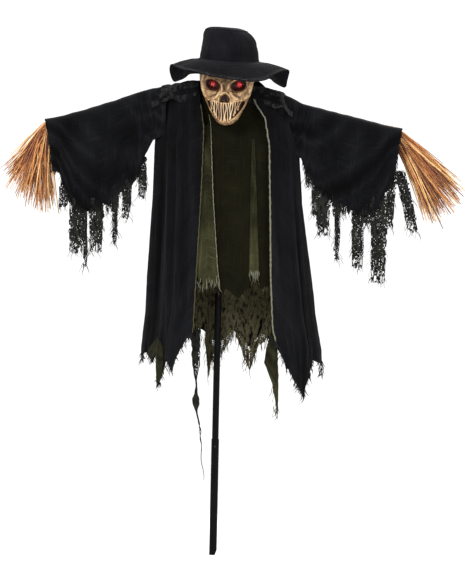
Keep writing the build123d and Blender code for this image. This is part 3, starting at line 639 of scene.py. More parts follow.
class ScarecrowHead(bpy.types.PropertyGroup):
    """Sizes and colours of the bone mask and the hat."""

    bone: colour("Bone colour", "Aged bone of the mask", (0.235, 0.130, 0.053))
    # The recess colour is painted brown shade in the mask's pits and grooves.
    recess: colour("Recess colour", "Dark brown rubbed into the hollows", (0.018, 0.0045, 0.002))
    eye: colour("Eye colour", "Red of the lit eyes", (0.80, 0.010, 0.012))
    mouth_cords: IntProperty(name="Mouth cords", description="Cords stretched across the mouth", min=6, max=24,
                             default=14)
    felt: colour("Hat colour", "Black of the hat's cloth", (0.0042, 0.0042, 0.0054))
    stitch: size("Stitch length", "Length of one stitch on the brim", 0.0038)


class ScarecrowStraw(bpy.types.PropertyGroup):
    """Sizes and colours of the straw hands."""

    strands: IntProperty(name="Strands", description="Straws in each hand", min=40, max=500, default=280)
    width: size("Straw width", "Width of a flat straw", 0.0026)
    pale: colour("Pale straw", "Colour of the lightest straws", (0.66, 0.41, 0.165))
    orange: colour("Orange straw", "Colour of most straws", (0.46, 0.180, 0.040))


class ScarecrowStage(bpy.types.PropertyGroup):
    """The floor, light and camera."""

    floor_radius: size("Floor radius", "Radius of the pale floor", 12.0)
    floor_colour: colour("Floor colour", "Colour of the floor", (0.95, 0.95, 0.95))
    key_power: FloatProperty(name="Key light", description="Power of the main soft light", unit="POWER", min=0,
                             default=110.0)


# ---- pieces ----


class SCARECROW_OT_stage(bpy.types.Operator):
    """Adds the pale floor, the soft studio light and the camera"""

    bl_idname = "scarecrow.stage"
    bl_label = "Stage"
    bl_options = {"REGISTER", "UNDO"}

    def execute(self, context):
        scene = context.scene
        sizes = scene.scarecrow_stage
        bm = bmesh.new()
        bmesh.ops.create_circle(bm, cap_ends=True, segments=96, radius=sizes.floor_radius)
        mesh = bpy.data.meshes.new("floor")
        bm.to_mesh(mesh)
        bm.free()
        s = Shader("floor_paper", 0.9, specular=0.1)
        paper = sizes.floor_colour
        s.link(s.mix(s.noise(s.object_place(), 3.0), tuple(paper), times(paper, 0.98)), "Base Color")
        mesh.materials.append(s.material)
        floor = bpy.data.objects.new("floor", mesh)
        scene.collection.objects.link(floor)

        world = bpy.data.worlds.new("studio")
        world.use_nodes = True
        sky = world.node_tree.nodes["Background"].inputs
        sky["Color"].default_value, sky["Strength"].default_value = (1, 1, 1, 1), 1.1
        scene.world = world
        for name, place, share, width in LAMPS:
            light = bpy.data.lights.new(name, "AREA")
            light.energy, light.shape, light.size = sizes.key_power * share, "DISK", width
            lamp = bpy.data.objects.new(name, light)
            lamp.location = place
            lamp.rotation_euler = (Vector((0, 0, 1.0)) - Vector(place)).to_track_quat("-Z", "Y").to_euler()
            scene.collection.objects.link(lamp)

        lens = bpy.data.cameras.new("camera")
        lens.lens, lens.sensor_width, lens.sensor_fit = LENS, SENSOR, "AUTO"
        camera = bpy.data.objects.new("camera", lens)
        distance = VIEW_HEIGHT * lens.lens / lens.sensor_width
        right = Vector((math.cos(VIEW_ROLL), 0, math.sin(VIEW_ROLL)))
        up = Vector((-math.sin(VIEW_ROLL), 0, math.cos(VIEW_ROLL)))
        turned = Matrix((right, up, right.cross(up))).transposed()
        camera.matrix_world = Matrix.Translation(VIEW_MIDDLE - Vector((0, distance, 0))) @ turned.to_4x4()
        scene.collection.objects.link(camera)
        scene.camera = camera
        scene.view_settings.view_transform = "Standard"
        return {"FINISHED"}


class SCARECROW_OT_frame_finishes(bpy.types.Operator):
    """Gives the poles, brackets and lamp parts their finishes"""

    bl_idname = "scarecrow.frame_finishes"
    bl_label = "Frame finishes"
    bl_options = {"REGISTER", "UNDO"}

    def execute(self, context):
        scene = context.scene
        head = scene.scarecrow_head
        finishes = {
            "pole_coat": coated_metal("pole_coat_finish", (0.0022, 0.0022, 0.0022)),
            "spring_steel": bare_metal("spring_steel_finish", (0.42, 0.43, 0.45), 0.28),
            "button_steel": bare_metal("button_steel_finish", (0.030, 0.030, 0.032), 0.40),
            "contact_steel": bare_metal("contact_steel_finish", (0.62, 0.62, 0.60), 0.25),
            "bracket_plastic": plastic("bracket_plastic_finish", (0.008, 0.008, 0.009), 0.55),
            "box_plastic": plastic("box_plastic_finish", (0.010, 0.010, 0.011), 0.5),
            "socket_plastic": plastic("socket_plastic_finish", (0.012, 0.006, 0.005), 0.5),
            "switch_plastic": plastic("switch_plastic_finish", (0.02, 0.02, 0.02), 0.4),
            "wire_black": plastic("wire_black_finish", (0.006, 0.006, 0.006), 0.45),
            "board_green": plastic("board_green_finish", (0.01, 0.07, 0.02), 0.35, 300.0),
            "cell_wrap": self.cell_wrap(),
            "twine": self.twine(),
            "led_red": self.led(tuple(head.eye)),
        }
        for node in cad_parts.values():
            for place in node.material_slots:
                base = place.material.name.split(".")[0] if place.material else ""
                if base in finishes:
                    place.material = finishes[base]
        return {"FINISHED"}

    @staticmethod
    def cell_wrap():
        """The printed sleeve of a battery cell."""
        s = Shader("cell_wrap_finish", 0.25, coat=0.4)
        s.link(s.mix(s.noise(s.object_place(), 90.0), (0.05, 0.05, 0.055), (0.30, 0.12, 0.02)), "Base Color")
        s.bumped(s.noise(s.object_place(), 500.0), 0.00005)
        return s.material

    @staticmethod
    def twine():
        """Twisted brown twine."""
        s = Shader("twine_finish", 0.9, sheen=0.2, specular=0.2)
        place = s.object_place()
        turns = s.wave(s.scaled(place, (1, 1, 1), (0, 0.5, 0)), 90.0, "X", 1.2)
        s.link(s.mix(turns, (0.09, 0.05, 0.02), (0.38, 0.24, 0.11)), "Base Color")
        s.bumped(turns, 0.0008)
        return s.material

    @staticmethod
    def led(red):
        """The clear red case of a lamp."""
        s = Shader("led_red_finish", 0.2)
        s.surface.inputs["Emission Color"].default_value = (*red, 1.0)
        s.surface.inputs["Emission Strength"].default_value = 1.0
        s.link(s.mix(s.noise(s.object_place(), 300.0), (0.5, 0.01, 0.01), red), "Base Color")
        return s.material


def head_point(x, y, z):
    """A point of the head's own axes, placed in the frame."""
    return HEAD_CENTRE + HEAD_TURN @ Vector((x, y, z))


def near_path(x, z, path):
    """Distance from a point to a bent line."""
    best = 1.0
    for (ax, az), (bx, bz) in zip(path, path[1:]):
        length = (bx - ax) ** 2 + (bz - az) ** 2
        t = min(1.0, max(0.0, ((x - ax) * (bx - ax) + (z - az) * (bz - az)) / length))
        best = min(best, math.hypot(x - ax - (bx - ax) * t, z - az - (bz - az) * t))
    return best


def mouth_top(x):
    """The height of the upper lip."""
    return -0.0535 + 0.010 * min(1.0, abs(x) / 0.055) ** 1.4


def mouth_foot(x):
    """The height of the lower lip."""
    return -0.1035 + 0.052 * min(1.0, abs(x) / 0.056) ** 2.0


def skull_relief(x, z):
    """How far the mask stands out at a point seen from the front, and its painted light: 1 for painted shade
    in a pit, below 0 for a painted highlight on a ridge."""
    out, dark, light = 0.0, 0.0, 0.0
    side = 1.0 if x > 0 else -1.0
    for ex, ez in EYE_SPOTS:
        dx, dz = x - ex, z - ez
        tilt = -0.30 if ex > 0 else 0.30
        across, down = dx * math.cos(tilt) - dz * math.sin(tilt), dx * math.sin(tilt) + dz * math.cos(tilt)
        q = math.hypot(across / 0.0265, down / (0.0165 if down > 0 else 0.0195))
        out -= 0.024 * (1 - ease(0.35, 1.02, q))
        rim = bell(q - 1.14, 0.10)
        out += 0.0050 * rim
        light = max(light, 0.9 * rim * rim)
        dark = max(dark, 1 - ease(0.70, 1.06, q))
    cheek = bump(math.hypot((abs(x) - 0.048) / 0.026, (z + 0.029) / 0.020))
    out += 0.0085 * cheek
    light = max(light, 0.35 * cheek)
    outer = near_path(abs(x), z, ((0.066, 0.030), (0.073, 0.008), (0.071, -0.014), (0.062, -0.033), (0.048, -0.046)))
    edge = bell(outer, 0.0042)
    out += 0.0048 * edge
    light = max(light, 0.8 * edge)
    ditch = bell(outer - 0.0085, 0.0035) * (abs(x) < 0.066)
    out -= 0.0026 * ditch
    dark = max(dark, 0.50 * ditch)
    out -= 0.0060 * bump(math.hypot((abs(x) - 0.050) / 0.018, (z + 0.056) / 0.014))
    out += 0.0060 * bump(math.hypot((abs(x) - 0.032) / 0.040, (z - 0.028) / 0.012))
    ridge = near_path(abs(x), z, ((0.009, 0.006), (0.0105, -0.012), (0.019, -0.026), (0.030, -0.038), (0.050, -0.0445)))
    crest = bell(ridge, 0.0036)
    out += 0.0062 * crest
    light = max(light, crest)
    gutter = near_path(abs(x), z, ((0.020, -0.016), (0.028, -0.028), (0.042, -0.034)))
    groove = bell(gutter, 0.0038)
    out -= 0.0030 * groove
    dark = max(dark, 0.75 * groove)
    nose_x = x + 0.001
    if -0.056 < z < -0.018:
        q = math.hypot(nose_x / 0.0150, (z + 0.0480) / 0.0235) if z > -0.048 else abs(nose_x) / 0.0150
        hole = (1 - ease(0.72, 1.05, q)) * ease(-0.0525, -0.0480, z)
        septum = 0.6 * bell(nose_x, 0.0024) * (1 - ease(-0.044, -0.032, z))
        out -= 0.014 * hole * (1 - septum)
        dark = max(dark, hole * (1 - 0.4 * septum))
        lip = bell(q - 1.18, 0.10) * ease(-0.050, -0.042, z)
        out += 0.0034 * lip
        light = max(light, 0.9 * lip)
    top, foot = mouth_top(x), mouth_foot(x)
    if abs(x) < 0.062:
        inside = ease(foot - 0.002, foot + 0.004, z) * (1 - ease(top - 0.004, top + 0.002, z))
        inside *= 1 - ease(0.050, 0.058, abs(x))
        out -= 0.0125 * inside
        dark = max(dark, inside)
        lower = bell(z - foot + 0.0045, 0.0036) * (1 - ease(0.050, 0.060, abs(x)))
        upper = bell(z - top - 0.0032, 0.0026) * (1 - ease(0.046, 0.058, abs(x)))
        out += 0.0042 * lower + 0.0026 * upper
        light = max(light, 0.75 * lower, 0.7 * upper)
    # painted shadow of the hat's brim on the brow between the eyes
    dark = max(dark, 0.65 * bump(math.hypot(x / 0.016, (z - 0.014) / 0.016)))
    chin = bump(math.hypot(x / 0.022, (z + 0.112) / 0.010))
    out += 0.0045 * chin
    light = max(light, 0.5 * chin)
    # wrinkles and fine creases, set in the relief away from the pits (worn), with painted shade darkening their creases
    wrinkle = crease(x * 75 + 3 * side, z * 42, 1.3)
    fine = crease(x * 210, z * 130, 7.9)
    worn = 1 - dark
    out += worn * (0.0016 * (wrinkle - 0.6) + 0.0006 * (fine - 0.5) + 0.0010 * ripple(x * 60, z * 60, 5))
    dark = max(dark, worn * 0.55 * (1 - ease(0.22, 0.55, wrinkle)), worn * 0.22 * (1 - ease(0.2, 0.6, fine)))
    return out, dark - light * (1 - dark)


class SCARECROW_OT_mask(bpy.types.Operator):
    """Models the bone mask, its back shell, the mouth cords and the lit eyes"""

    bl_idname = "scarecrow.mask"
    bl_label = "Bone mask"
    bl_options = {"REGISTER", "UNDO"}

    def execute(self, context):
        scene = context.scene
        sizes = scene.scarecrow_head
        bone = self.bone(sizes)

        def face(u, v):
            z = SKULL[0][0] + (SKULL[-1][0] - SKULL[0][0]) * (1 - v)
            half, front = curved(SKULL, z)
            half, deep = max(0.003, half), max(0.004, SHELL_SEAM - front)
            cut = 0.0 if z > 0.010 else 0.034 * (1 - ease(0.004, 0.010, z))
            cut = min(cut, deep * 0.6)
            most = math.acos(min(1.0, (cut / deep) ** (SKULL_POWER / 2)))
            turn = most * (2 * u - 1)
            x = half * math.copysign(abs(math.sin(turn)) ** (2 / SKULL_POWER), turn)
            y = SHELL_SEAM - deep * max(0.0, math.cos(turn)) ** (2 / SKULL_POWER)
            out, _ = skull_relief(x, z)
            return head_point(x * (1 + out * 2.0), y - out * ease(0.0, 0.45, math.cos(turn)), z)

        bm = cloth_grid(210, 222, 0.24, 0.22, face)
        self.darken(bm)
        thicken(new_piece(bm, "bone_mask", "head", bone, ("face_shell",)), MASK_WALL, -1.0)

        def back(u, v):
            z = SKULL_BACK[0][0] + (SKULL_BACK[-1][0] - SKULL_BACK[0][0]) * (1 - v)
            half, deep = curved(SKULL, z)[0], curved(SKULL_BACK, z)[0] - SHELL_SEAM
            turn = math.pi / 2 * (1 - 2 * u)
            x = half * math.copysign(abs(math.sin(turn)) ** (2 / SKULL_POWER), turn)
            y = SHELL_SEAM + deep * max(0.0, math.cos(turn)) ** (2 / SKULL_POWER)
            seam = 0.0006 * (crease(x * 60, z * 60, 3.0) - 0.5)
            return head_point(x * (1 + seam * 10), y + seam, z)

        bm = cloth_grid(120, 80, 0.26, 0.10, back)
        self.darken(bm)
        thicken(new_piece(bm, "bone_back", "head", bone, ("head_back_shell",)), MASK_WALL, -1.0)
        self.mouth(sizes)
        self.eyes(sizes)
        return {"FINISHED"}

    @staticmethod
    def darken(bm):
        """Marks how deep each point of the mask lies, as painted shade in its pits and painted highlight on its ridges,
        for its colour.
        """
        dark = bm.verts.layers.float.new("recess")
        for vert in bm.verts:
            own = HEAD_TURN.transposed() @ (vert.co - HEAD_CENTRE)
            vert[dark] = skull_relief(own.x, own.z)[1] if own.y < -0.02 else 0.15

    @staticmethod
    def bone(sizes):
        """Aged bone: mottled tan, with painted brown shade in the hollows and painted pale highlights on the ridges."""
        s = Shader("bone_plastic_finish", 0.55, specular=0.4)
        place = s.object_place()
        tan = tuple(sizes.bone)
        pale = (min(1, tan[0] * 2.1), min(1, tan[1] * 2.6), min(1, tan[2] * 3.4))
        mottle = s.noise(place, 60.0, 4.0)
        streak = s.noise(s.scaled(place, (160.0, 160.0, 45.0)), 1.0, 3.0)
        base = s.ramp(mottle, (0.30, times(tan, 0.55)), (0.50, tan), (0.68, pale))
        base = s.mix(s.ramp(streak, (0.52, grey(0.0)), (0.70, grey(0.55))), base, (0.12, 0.045, 0.015))
        olive = s.ramp(s.noise(place, 26.0, 2.0), (0.55, grey(0.0)), (0.75, grey(0.35)))
        base = s.mix(olive, base, (0.14, 0.13, 0.035))
        # painted light: the recess attribute is painted shade in the pits and grooves above 0, and below 0 a painted
        # highlight on the ridges, which rubbed holds
        painted_shade_and_highlight = s.attribute("recess")
        rubbed = s.math("MULTIPLY", painted_shade_and_highlight, -1.0)
        base = s.mix(s.ramp(rubbed, (0.15, grey(0.0)), (0.85, grey(0.85))), base, pale)
        base = s.mix(s.ramp(painted_shade_and_highlight, (0.10, grey(0.0)), (0.75, grey(1.0))), base, tuple(sizes.recess))
        s.link(base, "Base Color")
        s.link(s.ramp(streak, (0.3, grey(0.42)), (0.8, grey(0.72))), "Roughness")
        s.bumped(s.math("ADD", s.noise(place, 420.0, 3.0), streak), 0.0006, 0.7)
        return s.material

    @staticmethod
    def mouth(sizes):
        """Thin cords of bone stretched from lip to lip."""
        s = Shader("mouth_cord_finish", 0.5, specular=0.45)
        place = s.object_place()
        tone = s.math("ADD", s.attribute("tone"), s.math("MULTIPLY", s.noise(place, 200.0, 2.0), 0.5))
        s.link(s.ramp(tone, (0.35, (0.10, 0.035, 0.012)), (0.62, (0.30, 0.165, 0.075)), (0.95, (0.56, 0.40, 0.23))),
               "Base Color")
        s.bumped(s.noise(place, 700.0), 0.0004)
        rng = random.Random(11)
        strands = Strands(12)
        count = sizes.mouth_cords
        for i in range(count):
            x = -0.048 + 0.096 * (i + 0.5) / count
            lean = rng.uniform(-0.004, 0.004) - x * 0.16
            top, foot = mouth_top(x) + 0.003, mouth_foot(x) - 0.0015
            wave, phase, thick = rng.uniform(0.0006, 0.0016), rng.uniform(0, 6), rng.uniform(0.00085, 0.00135)

            def line(t, x=x, lean=lean, top=top, foot=foot, wave=wave, phase=phase):
                z = top + (foot - top) * t
                at = x + lean * t + wave * math.sin(phase + t * 7)
                half, front = curved(SKULL, z)
                round_front = max(0.0, 1 - abs(at / half) ** SKULL_POWER) ** (1 / SKULL_POWER)
                y = SHELL_SEAM + (front - SHELL_SEAM) * round_front
                return head_point(at, y - 0.0012 + 0.0035 * math.sin(math.pi * t), z)

            strands.add(line, HEAD_TURN @ Vector((0, -1, 0)), thick, thick * 0.8, rng.uniform(0.35, 0.75), taper=-1.3)
        strands.finish("mouth_cords", "head", s.material)

    @staticmethod
    def eyes(sizes):
        """The lit eyes and their holders."""
        red = tuple(sizes.eye)
        s = Shader("eye_lens_finish", 0.08, coat=1.0, specular=0.6)
        place = s.object_place()
        # painted light: this noise paints dark facets and pink glints into the lens's red glow
        painted_facets_and_glints = s.noise(place, 330.0, 1.0)
        glow = s.ramp(painted_facets_and_glints, (0.38, (0.02, 0.0, 0.0)), (0.56, red), (0.76, (1.0, 0.22, 0.20)))
        s.link(glow, "Base Color")
        s.link(glow, "Emission Color")
        s.surface.inputs["Emission Strength"].default_value = 0.30
        holder = plastic("eye_holder_finish", (0.012, 0.005, 0.004), 0.5)
        for name, (x, z) in zip(("left", "right"), EYE_SPOTS):
            low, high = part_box(name + "_eye_lens")
            middle = (low + high) / 2
            bm = bmesh.new()
            bmesh.ops.create_icosphere(bm, subdivisions=2, radius=0.0092)
            bmesh.ops.rotate(bm, verts=bm.verts, cent=(0, 0, 0), matrix=Matrix.Rotation(0.4, 3, "Z") @ HEAD_TURN)
            bmesh.ops.translate(bm, verts=bm.verts, vec=(middle.x, high.y - 0.0010, middle.z))
            new_piece(bm, name + "_eye", "head", s.material, (name + "_eye_lens",), smooth=False)
            bm = bmesh.new()
            profile = [(0.0088, 0.000), (0.0125, -0.0020), (0.0170, 0.001), (0.0165, 0.012), (0.0088, 0.012)]
            points = [bm.verts.new((r, y, 0)) for r, y in profile]
            edges = [bm.edges.new(pair) for pair in zip(points, points[1:] + points[:1])]
            bmesh.ops.spin(bm, geom=points + edges, cent=(0, 0, 0), axis=(0, 1, 0), angle=math.tau, steps=40,
                           use_merge=True)
            bmesh.ops.recalc_face_normals(bm, faces=bm.faces)
            socket = Matrix.Translation((middle.x, high.y, middle.z)) @ HEAD_TURN.to_4x4()
            bmesh.ops.transform(bm, verts=bm.verts, matrix=socket)
            new_piece(bm, name + "_eye_holder", "head", holder, (name + "_eye_cup",))


class SCARECROW_OT_hat(bpy.types.Operator):
    """Models the soft hat: crown, folded brim and its stitching"""

    bl_idname = "scarecrow.hat"
    bl_label = "Soft hat"
    bl_options = {"REGISTER", "UNDO"}

    def execute(self, context):
        scene = context.scene
        sizes = scene.scarecrow_head
        felt = woven("hat_felt_finish", *shades(sizes.felt, 0.55, 2.8), 0.0011, bump_depth=0.0004, patch=0.8)
        lengths = [0.0]
        for low, high in zip(CROWN, CROWN[1:]):
            lengths.append(lengths[-1] + math.hypot(high[0] - low[0], high[3] - low[3]))
        profile = [(length / lengths[-1], *row) for length, row in zip(lengths, CROWN)]

        def tipped(point):
            """The hat sits a little lower on the right."""
            point.z -= 0.045 * (point.x - 0.018) + 0.003
            return point

        def crown(u, v):
            z, cx, cy, hw, hd = curved(profile, 1 - v)
            turn = math.tau * u
            dent = 0.0016 * ripple(math.cos(turn) * 2.2, math.sin(turn) * 2.2, z * 16)
            dent += 0.0010 * ripple(math.cos(turn) * 6, math.sin(turn) * 6, z * 60)
            dent += 0.0008 * bell(z - 1.5135, 0.0016) - 0.0010 * bell(z - 1.5110, 0.0010)
            hw, hd = max(0.0, hw), max(0.0, hd)
            grow = dent if hw > 0.004 else 0.0
            x, y = cx + (hw + grow) * math.cos(turn), cy + (hd + grow) * math.sin(turn)
            return tipped(Vector((x, y, z + dent * 0.6)))

        bm = cloth_grid(200, 130, 0.55, 0.19, crown)
        bmesh.ops.remove_doubles(bm, verts=bm.verts, dist=0.00005)
        bmesh.ops.recalc_face_normals(bm, faces=bm.faces)
        self.face_out(bm, Vector((0.015, -0.05, 1.46)))
        thicken(new_piece(bm, "hat_crown_cloth", "hat", felt, ("hat_crown",)), CROWN_WALL)

        def edge(turn):
            degrees = math.degrees(turn) % 360
            if degrees > 270:
                degrees -= 360
            return Vector(curved(BRIM_EDGE, degrees))

        def root(point):
            _, cx, cy, hw, hd = CROWN[1]
            turn = math.atan2((point.y - cy) / hd, (point.x - cx) / hw)
            dip = 0.010 * max(0.0, -math.sin(turn)) + 0.006 * max(0.0, math.sin(turn))
            x, y = cx + (hw + 0.001) * math.cos(turn), cy + (hd + 0.001) * math.sin(turn)
            return tipped(Vector((x, y, 1.431 - dip)))

        def brim(u, v):
            turn = math.tau * u - math.pi / 2
            rim = edge(turn)
            start = root(rim)
            point = start.lerp(rim, v)
            point.z += 0.0045 * math.sin(math.pi * min(1.0, v * 1.05)) + 0.0016 * v * ripple(u * 22, v * 1.6, 3.3)
            point.z -= 0.0012 * bell(v - 0.90, 0.02)
            point.z += 0.0007 * ripple(u * 60, v * 9, 2.2)
            return point

        bm = cloth_grid(420, 46, 1.12, 0.085, brim)
        bmesh.ops.remove_doubles(bm, verts=bm.verts, dist=0.00005)
        piece = thicken(new_piece(bm, "hat_brim_cloth", "hat", felt, ("hat_brim",)), BRIM_WALL)
        self.stitches(sizes, brim)
        return {"FINISHED"}

    @staticmethod
    def face_out(bm, middle):
        """Turns the whole shell round if its faces point in."""
        score = sum((f.calc_center_median() - middle).dot(f.normal) for f in bm.faces)
        if score < 0:
            bmesh.ops.reverse_faces(bm, faces=bm.faces)

    @staticmethod
    def stitches(sizes, brim):
        """Two rows of running stitch near the edge of the brim."""
        thread = threads("stitch_thread_finish", (0.02, 0.02, 0.02), (0.05, 0.05, 0.048), (0.12, 0.12, 0.10))
        rng = random.Random(5)
        strands = Strands(2)
        around = int(1.1 / (sizes.stitch * 1.35))
        up = Vector((0, 0, 1))
        for row in (0.955, 0.885):
            for i in range(around):
                a, b = brim(i / around, row), brim((i + 0.74) / around, row)

                def line(t, a=a, b=b):
                    return a.lerp(b, t) + up * 0.0016 + up * 0.0004 * math.sin(math.pi * t)

                strands.add(line, up, 0.0006, 0.0004, rng.uniform(0.1, 0.9), taper=0.3)
        strands.finish("hat_stitches", "hat", thread)


def coat_cloth(scene):
    """The black cotton of the coat and sleeves."""
    return once("coat_cloth_finish", woven, *shades(scene.scarecrow_cloth.coat_colour, 0.5, 2.8), 0.0012)


def facing_cloth(scene):
    """The pale olive of the facings and the lining."""
    return once("facing_cloth_finish", woven, *shades(scene.scarecrow_cloth.facing_colour, 0.4, 2.0), 0.0016,
                bump_depth=0.0007)


def black_threads(scene):
    """The net and threads of the sleeves and hems."""
    return once("black_net_finish", threads, *shades(scene.scarecrow_net.black, 0.4, 4.0))


def olive_threads(scene):
    """The net behind the pole and the threads of the tunic."""
    return once("olive_net_finish", threads, *shades(scene.scarecrow_net.olive, 0.35, 8.0), 0.5, 0.7)


def shoulder_threads(scene):
    """The black net on the shoulders, with pale grey flecks and dashes as painted crease highlights."""
    black = scene.scarecrow_net.black[0]
    return once("shoulder_net_finish", threads, grey(black * 0.5), grey(black * 1.1), grey(black * 6.5), 0.5, 0.30)


def pale_threads():
    """The bleached threads of a torn edge."""
    return once("pale_edge_finish", threads, (0.008, 0.008, 0.005), (0.034, 0.034, 0.021), (0.12, 0.12, 0.085),
                0.9, 0.25)


def tucked(x, z, inset):
    """The depth of the coat's front at this x, drawn in by inset, and drawn back behind the jaw above the chest."""
    cx, cy, hw, hd = between(COAT_LEVELS, z)
    share = min(0.985, abs(x - cx) / hw)
    y = cy - hd * (1 - share * share) ** 0.425 + inset
    return y + (-0.024 - y) * ease(1.165, 1.262, z)


def frayed_edge(name, where, top, foot, count, width, material):
    """Twisted threads that run down a torn edge; where(z) is the edge's point at a height."""
    rng = random.Random(count)
    strands = Strands(130)
    for i in range(count):
        phase, turns, off = rng.uniform(0, 6), rng.uniform(16, 30), rng.uniform(0.2, 1.0)

        def line(t, phase=phase, turns=turns, swirl=width * off, i=i):
            z = top + (foot - top) * t
            swing = phase + turns * t * 6
            across = swirl * math.cos(swing) + 0.0012 * ripple(z * 40, i)
            return where(z) + Vector((across, swirl * 0.6 * math.sin(swing), 0))

        strands.add(line, Vector((0, -1, 0)), width, width * 0.7, rng.uniform(0.55, 1.0), taper=0.2)
    strands.finish(name, "torso", material)


class SCARECROW_OT_coat(bpy.types.Operator):
    """Hangs the coat: two fronts, back, shoulders, collar and their torn hems"""

    bl_idname = "scarecrow.coat"
    bl_label = "Coat"
    bl_options = {"REGISTER", "UNDO"}

    def execute(self, context):
        scene = context.scene
        sizes = scene.scarecrow_cloth
        cloth, thread = coat_cloth(scene), black_threads(scene)
        left = panel(1, sizes, -0.06, None, LEFT_HEM, LEFT_FRONT_CUT, LEFT_OPENING, 104, 250)
        right = panel(2, sizes, math.pi + 0.06, None, RIGHT_HEM, RIGHT_FRONT_CUT, RIGHT_OPENING, 104, 250)
        bmesh.ops.reverse_faces(right, faces=right.faces)  # it is laid out right to left
        back = panel(3, sizes, -0.03, -math.pi + 0.03, BACK_HEM, BACK_CUT, None, 200, 200)
        for name, bm, stands, hem, turns, flat in (
            ("left_front", left, ("coat_left_front", "left_hem_rags"), LEFT_HEM, 1, LEFT_FRONT_CUT),
            ("right_front", right, ("coat_right_front", "right_hem_rags"), RIGHT_HEM, 1, RIGHT_FRONT_CUT),
            ("back", back, ("coat_back",), BACK_HEM, -1, BACK_CUT),
        ):
            low, high = hem[0][0] + 0.004, hem[-1][0] - 0.004
            rng = random.Random(len(name))
            roots = []
            for _ in range(190 if name != "back" else 120):
                x = rng.uniform(low, high)
                z = between(hem, x)[0] + 0.004
                turn = coat_turn(x, HEM_LEVEL) * turns
                roots.append(coat_surface(turn, z, coat_fold(turn, z, sizes.fold_depth)))
            trim = fringe(name + "_hem_threads", "torso", thread, roots, sizes.fringe_length, 0.0009,
                          len(name), 0.6)
            hang_sheet(bm, "coat_" + name + "_cloth", "torso", cloth, flat,
                       stands, sizes.thickness)
        self.edges(scene)
        self.shoulders(scene, cloth)

        def lining(u, v):
            x = -0.199 + 0.047 * u
            low = between(LEFT_HEM, x)[0] + 0.004 + torn(x, 0.005, 5)
            top = 0.622 - 0.030 * abs(2 * u - 1) ** 2 + torn(x, 0.006, 6)
            z = top + (low - top) * v
            turn = coat_turn(x, HEM_LEVEL)
            out = coat_fold(turn, z, sizes.fold_depth) + 0.0022 + 0.001 * ripple(x * 90, z * 60)
            return coat_surface(turn, z, out)

        bm = cloth_grid(16, 24, *LINING_CUT, lining, lambda u, v: -0.25 + 0.5 * ripple(u * 3, v * 4))
        hang_sheet(bm, "left_lining_cloth", "torso", facing_cloth(scene), LINING_CUT,
                   (), 0.0008)
        return {"FINISHED"}

    @staticmethod
    def edges(scene):
        """The frayed, twisted edges of the coat's opening."""
        depth = scene.scarecrow_cloth.fold_depth
        for name, opening, top, foot, count, width, step, material in (
            ("left", LEFT_OPENING, 1.300, 0.640, 3, 0.0010, 0.0012, olive_threads(scene)),
            ("right", RIGHT_OPENING, 1.318, 0.606, 5, 0.0015, -0.0012, pale_threads()),
        ):
            def where(z, opening=opening, step=step):
                turn = coat_turn(between(opening, z)[0], z)
                return coat_surface(turn, z, coat_fold(turn, z, depth) * 0.25 + 0.0022) + Vector((step, -0.0006, 0))

            frayed_edge(name + "_edge_fray", where, top, foot, count, width, material)

    @staticmethod
    def shoulders(scene, cloth):
        """The two yokes with their nets, and the collar."""
        sizes = scene.scarecrow_cloth
        for name, side in (("left", -1), ("right", 1)):
            def yoke(u, v, side=side, lift=0.003):
                x = side * (0.070 + 0.128 * u)
                ridge = between(SHOULDER_LINE, x)[0] + lift * (1 - u * u) - 0.010 * ease(0.80, 1.0, u)
                s = 2 * v - 1
                drop = 0.030 + 0.010 * ripple(x * 25, s) * abs(s) + 0.010 * u
                z = ridge - drop * abs(s) ** 1.8 - 0.0018 * abs(ripple(x * 55, s * 3.0, side))
                y = 0.004 - (0.034 + 0.014 * ease(0.2, 0.8, u)) * s
                if s > 0.3:
                    y = min(y, coat_surface(coat_turn(x, z), z).y - 0.0025)
                return Vector((x, y, z + 0.0012 * ripple(x * 90, s * 6, 2)))

            bm = cloth_grid(50, 60, *YOKE_CUT, yoke)
            face_up(bm)
            hang_sheet(bm, name + "_yoke_cloth", "torso", cloth, YOKE_CUT,
                       (name + "_coat_yoke",), sizes.thickness)

            def gauze(u, v, side=side, yoke=yoke):
                point = yoke(u * 1.04, v, lift=0.004)
                s = 2 * v - 1
                crumple = 0.0030 * ripple(point.x * 70, s * 5, side * 3) + 0.002 * crease(point.x * 45, s * 3.5, 5)
                hang = 0.034 * max(0.0, s) ** 3 * (0.6 + 0.4 * ripple(point.x * 30, 3)) * (1 - 0.95 * u * u)
                point.z += crumple * (1 - u ** 4) - hang
                point.y -= 0.004 * max(0.0, s) + crumple * s * 0.6
                return point

            width, length = SHOULDER_NET_CUT
            bm = cloth_grid(int(width / 0.0036), int(length / 0.0042), width, length, gauze)
            face_up(bm)
            open_net(bm, 0.0036, SHOULDER_THREAD, 31 + side, 0.25)
            hang_sheet(bm, name + "_shoulder_net", "torso", shoulder_threads(scene), SHOULDER_NET_CUT,
                       (name + "_shoulder_gauze",), 0.0006)

        def collar(u, v):
            turn = math.pi * (-0.02 + 1.04 * u)
            flare = 0.004 * (1 - v) + 0.004 * ripple(u * 9, v)
            x = 0.012 + (0.106 + flare) * math.cos(turn)
            y = 0.020 + (0.074 + flare - 0.014 * v) * math.sin(turn)
            rear = ease(0.030, 0.062, y)
            beside = between(SHOULDER_LINE, x)[0] + 0.006 - 0.016 * v
            return Vector((x, y, beside + (1.3710 - 0.070 * v + 0.002 * ripple(u * 12, 4) - beside) * rear))

        bm = cloth_grid(110, 24, *COLLAR_CUT, collar)
        hang_sheet(bm, "coat_collar_cloth", "torso", cloth, COLLAR_CUT,
                   ("coat_collar",), COLLAR_WALL)


